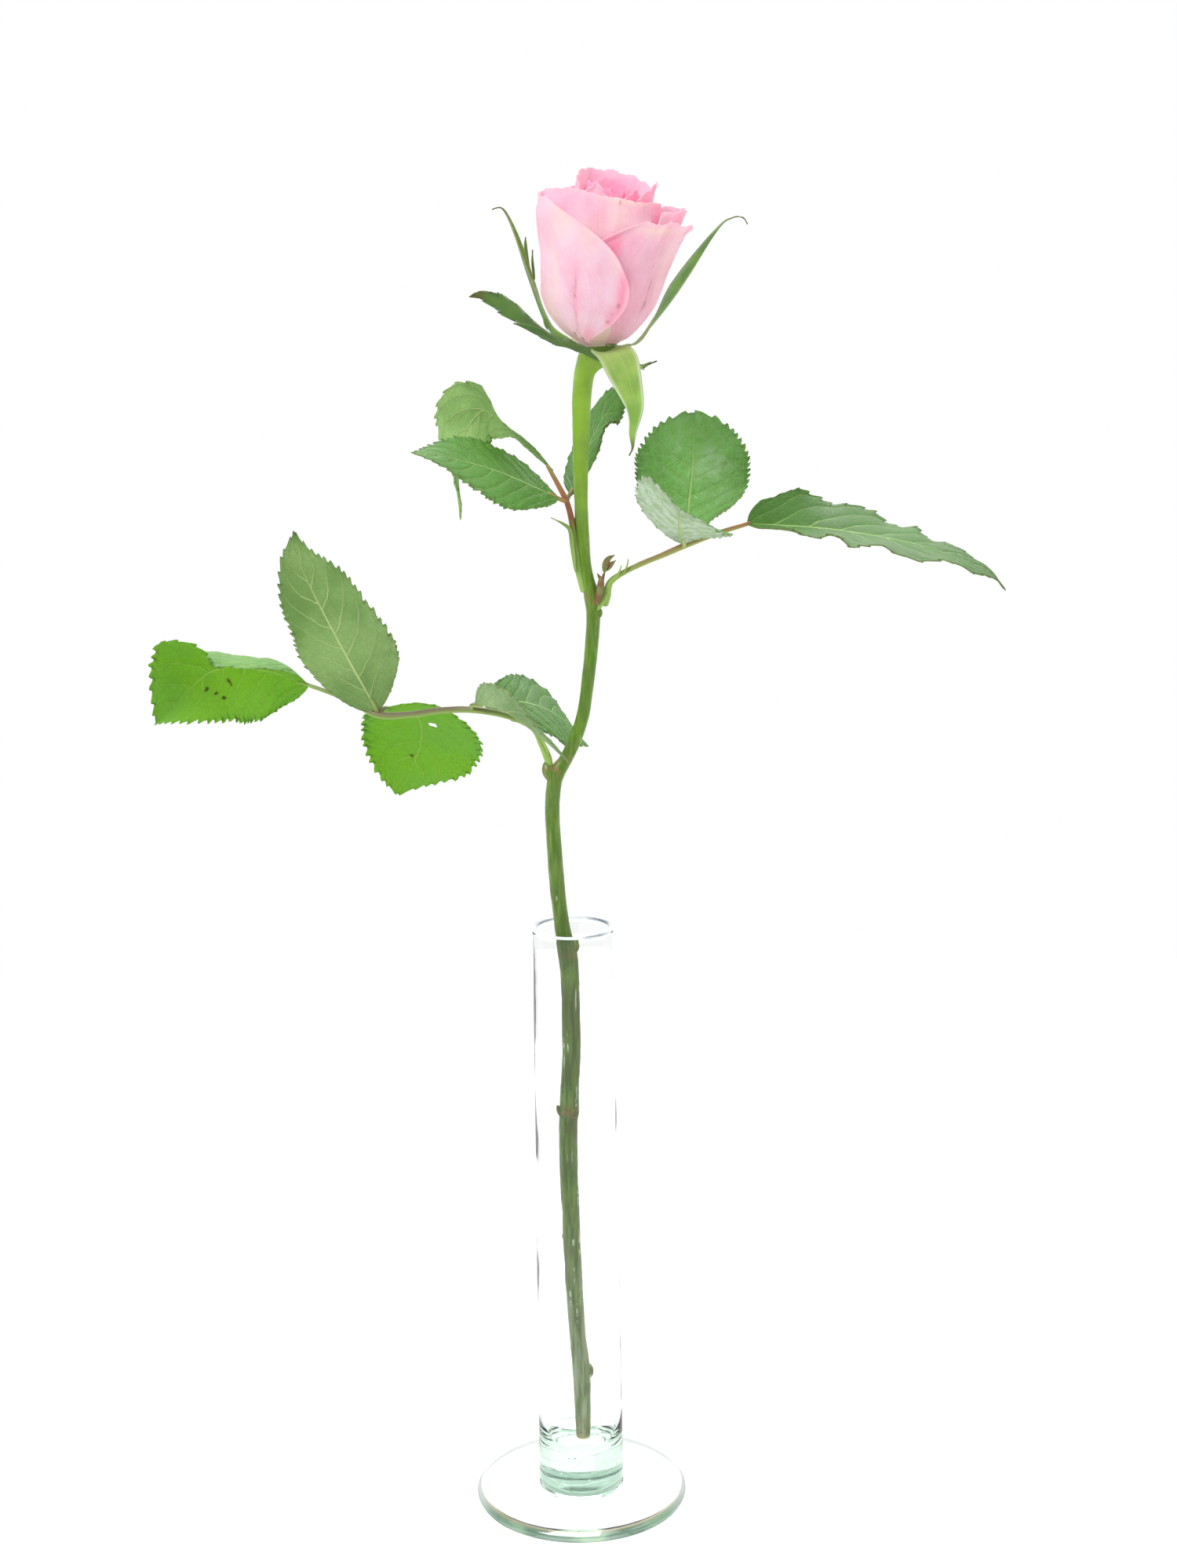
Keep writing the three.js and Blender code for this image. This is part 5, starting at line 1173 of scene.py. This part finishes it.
# ---------------------------------------------------------------- operators
class ROSE_OT_vase(bpy.types.Operator):
    """Adds the glass bud vase"""

    bl_idname = "rose.add_vase"
    bl_label = "Add vase"

    def execute(self, context):
        vase = context.scene.rose_vase
        body = shaped_grid(self.turned(vase))
        close_up()
        smooth(GLASS_SHARP_FROM)
        parts = [body]
        rng = np.random.default_rng(7)
        for _ in range(BUBBLES):
            angle, reach = rng.uniform(0, 2 * math.pi), rng.uniform(3, 12.5)
            height, size = rng.uniform(6.5, 16), rng.uniform(0.18, 0.5)
            deselect()
            bpy.ops.mesh.primitive_uv_sphere_add(
                segments=14, ring_count=10, radius=size * MM,
                location=(reach * math.cos(angle) * MM, reach * math.sin(angle) * MM, height * MM))
            bubble = context.object
            bubble.scale = (1.2, 1.0, 0.7)
            parts.append(self.hollow(bubble))
        for height, reach, sway, seed in THREADS:
            deselect()
            bpy.ops.mesh.primitive_torus_add(
                major_segments=96, minor_segments=8, major_radius=reach * MM, minor_radius=THREAD_RADIUS * MM,
                location=(0, 0, height * MM))
            thread = self.hollow(context.object)
            for vertex in thread.data.vertices:
                way = Vector((vertex.co.x, vertex.co.y, 0)).normalized()
                vertex.co.z += sway * MM * noise.noise(way * 1.6 + Vector((seed, 0, 0)))
                vertex.co += way * 0.8 * MM * (noise.noise(way * 2.0 + Vector((0, seed, 3))) - 0.4)
            parts.append(thread)
        glass = glass_material(vase)
        for part in parts:
            part.data.materials.append(glass)
        body.data.materials.append(edge_glass_material())
        for poly in body.data.polygons:
            reach, level = math.hypot(poly.center.x, poly.center.y) / MM, poly.center.z / MM
            on_foot = reach > FOOT_EDGE_FROM and FOOT_EDGE_BOTTOM < level < FOOT_EDGE_TOP
            poly.material_index = 1 if on_foot or level > RIM_FROM else 0
        join("bud_vase", parts, "vase")
        return {"FINISHED"}

    def hollow(self, piece):
        """Air inside the glass: placed for good, its faces turned inwards."""
        bpy.ops.object.transform_apply(location=True, rotation=True, scale=True)
        piece.data.flip_normals()
        bpy.ops.object.shade_smooth()
        return piece

    def turned(self, vase):
        """The glass outline turned round, uneven by hand."""
        tube, inside = np.array(GLASS_TUBE, float), np.array(GLASS_INSIDE[:5][::-1], float)
        outer = [(np.interp(z, tube[:, 1], tube[:, 0]), z) for z in np.linspace(tube[0, 1], tube[-1, 1], 60)]
        walls = [(np.interp(z, inside[:, 1], inside[:, 0]), z) for z in np.linspace(inside[-1, 1], BOWL_RIM, 50)]
        outline = GLASS_FOOT + outer + GLASS_RIM + walls + GLASS_INSIDE[5:]
        inner_from = len(GLASS_FOOT) + len(outer) + 4
        steps = vase.segments
        grid = np.zeros((len(outline), steps + 1, 3))
        for i, (radius, z) in enumerate(outline):
            inner = i >= inner_from
            for j, angle in enumerate(np.linspace(0, 2 * np.pi, steps + 1)[:-1]):
                way = Vector((math.cos(angle), math.sin(angle), 0))
                spot = way * 1.4 + Vector((0, 0, z * 0.035)) + Vector((0, 0, 9.0 if inner else 0))
                swell = noise.noise(spot) * vase.unevenness / MM if radius > 1 and z > 0.2 else 0
                lift = 0.0
                if inner and z < BOWL_RIM - 1:
                    bowl = Vector((way.x * radius * 0.16, way.y * radius * 0.16, 3.7))
                    lift = 0.9 * noise.noise(bowl) * min(radius / 3, 1) * min((BOWL_RIM - z) / 4, 1)
                if 7 < z < 14 and not inner:
                    swell += 0.10 * noise.noise(Vector((way.x * 2.2, way.y * 2.2, z * 0.5)))
                grid[i, j] = (way.x * (radius + swell), way.y * (radius + swell), z + lift)
            grid[i, steps] = grid[i, 0]
        return grid


class ROSE_OT_stem(bpy.types.Operator):
    """Adds the stem with its nodes and buds"""

    bl_idname = "rose.add_stem"
    bl_label = "Add stem"

    def execute(self, context):
        leaf = context.scene.rose_leaf
        bark, scale = stem_material(leaf), bud_material()
        parts = [rod(STEM, *STEM_ROD, bark, wobble=0.06, rounded=False)]
        parts += [bud(at, radii, lean, bark) for at, radii, lean in STEM_BUDS]
        parts += [rod(SIDE_SHOOT, *SHOOT_ROD, scale, wobble=0.08), rod(SIDE_SHOOT_STALK, *SHOOT_STALK_ROD, scale)]
        for seed, spec in enumerate(SIDE_SHOOT_LEAVES):
            parts.append(sheet(blade_points(spec, SHOOT_GRID, seed=seed)[0], leaf.thickness, [scale]))
        join("rose_stem", parts, "stem")
        return {"FINISHED"}


class ROSE_OT_leaves(bpy.types.Operator):
    """Adds the three compound leaves"""

    bl_idname = "rose.add_leaves"
    bl_label = "Add leaves"

    def execute(self, context):
        leaf = context.scene.rose_leaf
        stalk = stalk_material()
        for order, (node, spec) in enumerate(LEAVES.items()):
            rachis = spec["rachis"]
            stations = RACHIS_STATIONS * len(rachis)
            parts = [rod(rachis, RACHIS_SIDES, stations, stalk, wobble=0.07, flush=spec["flush"])]
            parts += [rod(rows, *TWIG_ROD, stalk, wobble=0.05, flush=[0.9, 0.5]) for rows in spec["twigs"]]
            for number, leaflet in enumerate(spec["leaflets"]):
                parts.append(self.leaflet(leaf, {**LEAFLET, **leaflet}, 10 * order + number))
            for blade in spec["stipules"]:
                parts.append(sheet(blade_points(blade, STIPULE_GRID)[0], leaf.thickness, [stalk], {"flush": 0.0}))
            join(node + "_dressed", parts, node)
        return {"FINISHED"}

    def faces(self, leaf, thin):
        """Upper and under face, thin blades let more light through."""
        kind, shares = ("thin ", THIN_SHARES) if thin else ("", FIRM_SHARES)
        return [leaf_material(f"{kind}leaf {side} face", leaf, side == "under", share)
                for side, share in zip(("upper", "under"), shares)]

    def leaflet(self, leaf, spec, seed):
        """One leaflet with its teeth, veins, holes and marks."""
        points, length = blade_points(spec, LEAFLET_GRID, leaf.teeth, TOOTH_DEPTH, leaf.vein_pairs, seed)
        v, t = across_places(points.shape[1]), np.linspace(0, 1, len(points))[:, None]

        def far(across, along):
            return np.hypot((v - across) * spec["width"] / 2, (t - along) * length)

        mark = np.zeros(points.shape[:2])
        painted_sheen = np.full(mark.shape, float(spec.get("painted_sheen", 0)))
        holes = np.zeros(mark.shape, bool)
        for across, along, radius in spec.get("spots", ()):
            mark = np.maximum(mark, np.clip(1.25 - far(across, along) / radius, 0, 1))
        for across, along, radius in spec.get("holes", ()):
            holes |= far(across, along) < radius
        # shine patches raise the painted sheen
        for across, along, radius, strength in spec.get("shine", ()):
            painted_sheen = np.maximum(painted_sheen, strength * np.exp(-(far(across, along) / radius) ** 2))
        marks = {"tone": spec["tone"], "mark": mark, "painted_sheen": painted_sheen, "painted_under_sheen": spec.get("painted_under_sheen", 0)}
        return sheet(points, leaf.thickness, self.faces(leaf, spec["thin"] > THIN_FROM), marks, holes)


class ROSE_OT_calyx(bpy.types.Operator):
    """Adds the ring and the five sepals"""

    bl_idname = "rose.add_calyx"
    bl_label = "Add calyx"

    def execute(self, context):
        outside, inside = sepal_material("sepal outside", False), sepal_material("sepal inside", True)
        parts = [rod(CALYX_RING, *RING_ROD, outside, rounded=False)]
        for seed, spec in enumerate(SEPALS, 40):
            teeth = spec.get("teeth", 0)
            points, _ = blade_points(spec, SEPAL_GRID, teeth, spec.get("depth", 0.3) if teeth else 0, seed=seed)
            parts.append(sheet(points, SEPAL_THICKNESS, [inside, outside], {"dark": spec["dark"]}))
        join("rose_calyx", parts, "calyx")
        return {"FINISHED"}


class ROSE_OT_bloom(bpy.types.Operator):
    """Adds the flower, petal by petal"""

    bl_idname = "rose.add_bloom"
    bl_label = "Add bloom"

    def execute(self, context):
        petal = context.scene.rose_petal
        skin = petal_material(petal)
        parts = [self.heart(skin)]
        for number, spec in enumerate(PETALS):
            parts.append(sheet(*self.petal(spec, number, petal.thickness, skin)))
        join("rose_bloom", parts, "bloom")
        return {"FINISHED"}

    def place(self, degrees, height, radius):
        """Points round the bloom's axis."""
        base = np.array(BLOOM_BASE)
        axis = unit(np.array(BLOOM_TOP) - base)
        right = unit(np.array([1.0, 0, 0]) - axis * axis[0])
        front = np.cross(right, axis)
        turn = np.radians(degrees)
        return (base + axis * height[..., None] + right * (np.sin(turn) * radius)[..., None]
                + front * (np.cos(turn) * radius)[..., None])

    def outline(self, height):
        rows = np.array(BLOOM_OUTLINE, float)
        fine = np.linspace(0, 1, 200)
        return np.interp(height, eased(rows[:, 0], fine), eased(rows[:, 1], fine))

    def petal(self, spec, seed, thickness, skin):
        """What a sheet needs for one petal: points, thickness, material and painted places."""
        rows, columns = spec.get("grid", PETAL_GRID)
        s, t = np.meshgrid(np.linspace(0, 1, columns + 1), np.linspace(0, 1, rows + 1))
        start = spec.get("start", PETAL_START)
        inner = start > 0
        height = start + (eased(spec["rise"], s) - start) * t
        degrees = eased(spec["left"], t) * (1 - s) + eased(spec["right"], t) * s
        radius = self.outline(height) - straight(spec["inset"], s) * step_up(height / 1.5)
        if "mouth" in spec:
            pull = step_up((t + 0.4) / 1.2) if inner else step_up((t - 0.6) / 0.4)
            radius = radius + (eased(spec["mouth"], s) - radius) * pull
        radius = radius + eased(spec["flare"], s) * ending(t, 0.28)
        rng = np.random.default_rng(seed + 3)
        calm = spec.get("calm", 1.0)
        size = (0.25 if inner else 0.4) * calm
        for waves in (2, 3.3, 5.1):
            radius = radius + size * rng.uniform(0.4, 1) * t ** 2 * np.sin(
                2 * np.pi * (waves * s + rng.uniform()) + 2.0 * t) / waves * 2
        crumple = np.array([
            noise.noise(Vector((d * 0.05, h * 0.12, seed * 7.0)))
            + 0.5 * noise.noise(Vector((d * 0.13, h * 0.3, seed * 3.0)))
            for d, h in zip(degrees.ravel(), height.ravel())]).reshape(s.shape)
        radius = radius + CRUMPLE * crumple * step_up(height / 6)
        for middle, reach, level, tall, amount in spec.get("bulges", ()):
            radius = radius + amount * blob(degrees, height, middle, level, reach, tall)
        for middle, reach, depth, low, high in spec.get("grooves", ()):
            band = np.exp(-((degrees - middle) / reach) ** 2)
            radius = radius - depth * band * step_up((height - low) / 4) * step_up((high - height) / 4)
        roll = np.maximum(ending(t, 0.07), ending(np.abs(2 * s - 1), 0.06) * step_up(t * 3))
        radius = radius + spec["lip"] * roll * 0.7
        height = height - 0.25 * spec["lip"] * ending(t, 0.05)
        height = height + 0.5 * calm * t ** 4 * np.sin(2 * np.pi * (3.7 * s + rng.uniform()))
        ragged = np.array([
            noise.noise(Vector((d * 0.16, seed * 5.0, 0))) + 0.6 * noise.noise(Vector((d * 0.42, seed * 9.0, 4.0)))
            for d in degrees[-1]])
        height = height + (RAGGED_INNER if inner else RAGGED_OUTER) * t ** 6 * ragged
        paints = {}
        for kind in ("cream", "blush", "mark"):
            paints[kind] = np.zeros(s.shape)
            for middle, level, reach, tall, strength in spec.get(kind, ()):
                patch = strength * blob(degrees, height, middle, level, reach, tall)
                paints[kind] = np.maximum(paints[kind], patch)
        paints["deep_pink_and_shade"] = spec["deep_pink_and_shade"]
        paints["painted_glow"] = spec.get("painted_glow", LIGHT_INSIDE_DEEP if spec["deep_pink_and_shade"] > DEEP_FROM else LIGHT_INSIDE)
        paints = {kind: np.broadcast_to(value, s.shape)[:, ::-1] for kind, value in paints.items()}
        points = self.place(degrees, height, np.maximum(radius, PETAL_CENTRE))[:, ::-1]
        return points, thickness, [skin], paints

    def heart(self, skin):
        """The closed middle, seen only between the petals."""
        turn = np.linspace(0, 360, 41)
        height, radius = (np.repeat(column[:, None], len(turn), 1) for column in np.array(HEART, float).T)
        height = np.vstack([height[:1], height, height[-1:]])
        radius = np.vstack([radius[:1] * 0, radius, radius[-1:] * 0])
        piece = shaped_grid(self.place(np.broadcast_to(turn, height.shape), height, radius), skin)
        for kind, value in (("cream", 0.3), ("blush", 0.0), ("mark", 0.0), ("deep_pink_and_shade", 0.8), ("painted_glow", 0.5)):
            paint(piece, kind, np.full(height.shape, value))
        close_up()
        bpy.ops.object.shade_smooth()
        return piece


class ROSE_OT_stage(bpy.types.Operator):
    """Adds the floor, the studio light and the camera"""

    bl_idname = "rose.add_stage"
    bl_label = "Add stage"

    def execute(self, context):
        scene, stage = context.scene, context.scene.rose_stage
        self.floor()
        self.world(scene)
        for name, place, size, power in LAMPS:
            deselect()
            bpy.ops.object.light_add(type="AREA", location=place)
            lamp = context.object
            lamp.name = name
            lamp.data.size = size
            lamp.data.energy = power
            lamp.rotation_euler = (Vector(LAMP_AIM) - Vector(place)).to_track_quat("-Z", "Y").to_euler()
        deselect()
        bpy.ops.object.camera_add()
        camera = context.object
        camera.name = "camera"
        camera.data.lens = stage.lens
        camera.data.sensor_fit = "VERTICAL"
        camera.data.sensor_height = 36
        camera.data.clip_start = 0.01
        camera.matrix_world = (
            Matrix.Translation((CAMERA_SIDE, -stage.camera_distance, stage.camera_height))
            @ Matrix.Rotation(math.radians(90 - CAMERA_TILT), 4, "X")
            @ Matrix.Rotation(math.radians(CAMERA_ROLL), 4, "Z"))
        scene.camera = camera
        scene.view_settings.view_transform = "Standard"
        return {"FINISHED"}

    def floor(self):
        """A pale round floor; glass sees it brighter or darker by its place."""
        deselect()
        bpy.ops.mesh.primitive_circle_add(
            vertices=96, radius=FLOOR_RADIUS, fill_type="NGON", location=(0, 0, FLOOR_LEVEL))
        floor = bpy.context.object
        floor.name = "floor"
        material, tree, where = new_material("pale floor")
        x, y, _ = split(tree, where["Object"])
        ray = wire(tree, "ShaderNodeLightPath").outputs
        mirrored = ramp(tree, y, -0.03, 0.08, 0.05, 0.95)
        sides = ramp(tree, calc(tree, "ABSOLUTE", x), 0.1, 0.4, 1.25, 0.82)
        through = calc(tree, "MINIMUM", sides, ramp(tree, y, -0.14, -0.05, 0.7, 1.25))
        bright = blend(tree, ray["Is Glossy Ray"], 0.92, mirrored)
        bright = blend(tree, ray["Is Transmission Ray"], bright, through)
        grey = blend(tree, ray["Is Glossy Ray"], 0.58, 0.1)
        colour = wire(tree, "ShaderNodeCombineXYZ", {0: grey, 1: grey, 2: grey}).outputs[0]
        finish_material(material, {
            "Base Color": colour, "Roughness": 0.8, "Specular IOR Level": 0.0,
            "Emission Color": (1, 1, 1, 1), "Emission Strength": bright})
        floor.data.materials.append(material)

    def world(self, scene):
        """White all round, dimmer on the camera's side and at the far sides so that glass edges show."""
        world = bpy.data.worlds.new("studio")
        scene.world = world
        world.use_nodes = True
        tree = world.node_tree
        tree.nodes.clear()
        x, y, _ = split(tree, wire(tree, "ShaderNodeTexCoord").outputs["Generated"])
        ray = wire(tree, "ShaderNodeLightPath").outputs
        sides = ramp(tree, calc(tree, "ABSOLUTE", x), 0.35, 0.8, 1, 0.85)
        through = calc(tree, "MINIMUM", ramp(tree, y, -0.7, 0.1, 0.8, 1), sides)
        mirrored = ramp(tree, y, -0.8, 0.1, 0.08, 0.96)
        strength = ramp(tree, y, -0.8, 0.1, 0.40, 0.96)
        for kind, value in (("Is Glossy Ray", mirrored), ("Is Transmission Ray", through), ("Is Camera Ray", 1.0)):
            strength = blend(tree, ray[kind], strength, value)
        light = wire(tree, "ShaderNodeBackground", {"Color": (1, 1, 1, 1), "Strength": strength})
        wire(tree, "ShaderNodeOutputWorld", {"Surface": light.outputs[0]})


class ROSE_PT_panel(bpy.types.Panel):
    """Buttons and settings of the rose"""

    bl_label = "Rose in a bud vase"
    bl_idname = "ROSE_PT_panel"
    bl_space_type = "VIEW_3D"
    bl_region_type = "UI"
    bl_category = "Rose"

    def draw(self, context):
        for maker in MAKERS:
            self.layout.operator(maker.bl_idname)
        for group, _ in SETTINGS:
            settings = getattr(context.scene, group)
            box = self.layout.box()
            for name in settings.bl_rna.properties.keys():
                if name not in {"rna_type", "name"}:
                    box.prop(settings, name)


SETTINGS = (
    ("rose_vase", RoseVaseSettings),
    ("rose_leaf", RoseLeafSettings),
    ("rose_petal", RosePetalSettings),
    ("rose_stage", RoseStageSettings),
)
MAKERS = (ROSE_OT_vase, ROSE_OT_stem, ROSE_OT_leaves, ROSE_OT_calyx, ROSE_OT_bloom, ROSE_OT_stage)


def register():
    for name, kind in SETTINGS:
        bpy.utils.register_class(kind)
        setattr(bpy.types.Scene, name, PointerProperty(type=kind))
    for kind in (*MAKERS, ROSE_PT_panel):
        bpy.utils.register_class(kind)


def unregister():
    for kind in reversed((*MAKERS, ROSE_PT_panel)):
        bpy.utils.unregister_class(kind)
    for name, kind in reversed(SETTINGS):
        delattr(bpy.types.Scene, name)
        bpy.utils.unregister_class(kind)


def main():
    register()
    bpy.ops.rose.add_vase()
    bpy.ops.rose.add_stem()
    bpy.ops.rose.add_leaves()
    bpy.ops.rose.add_calyx()
    bpy.ops.rose.add_bloom()
    bpy.ops.rose.add_stage()


if __name__ == "__main__":
    main()
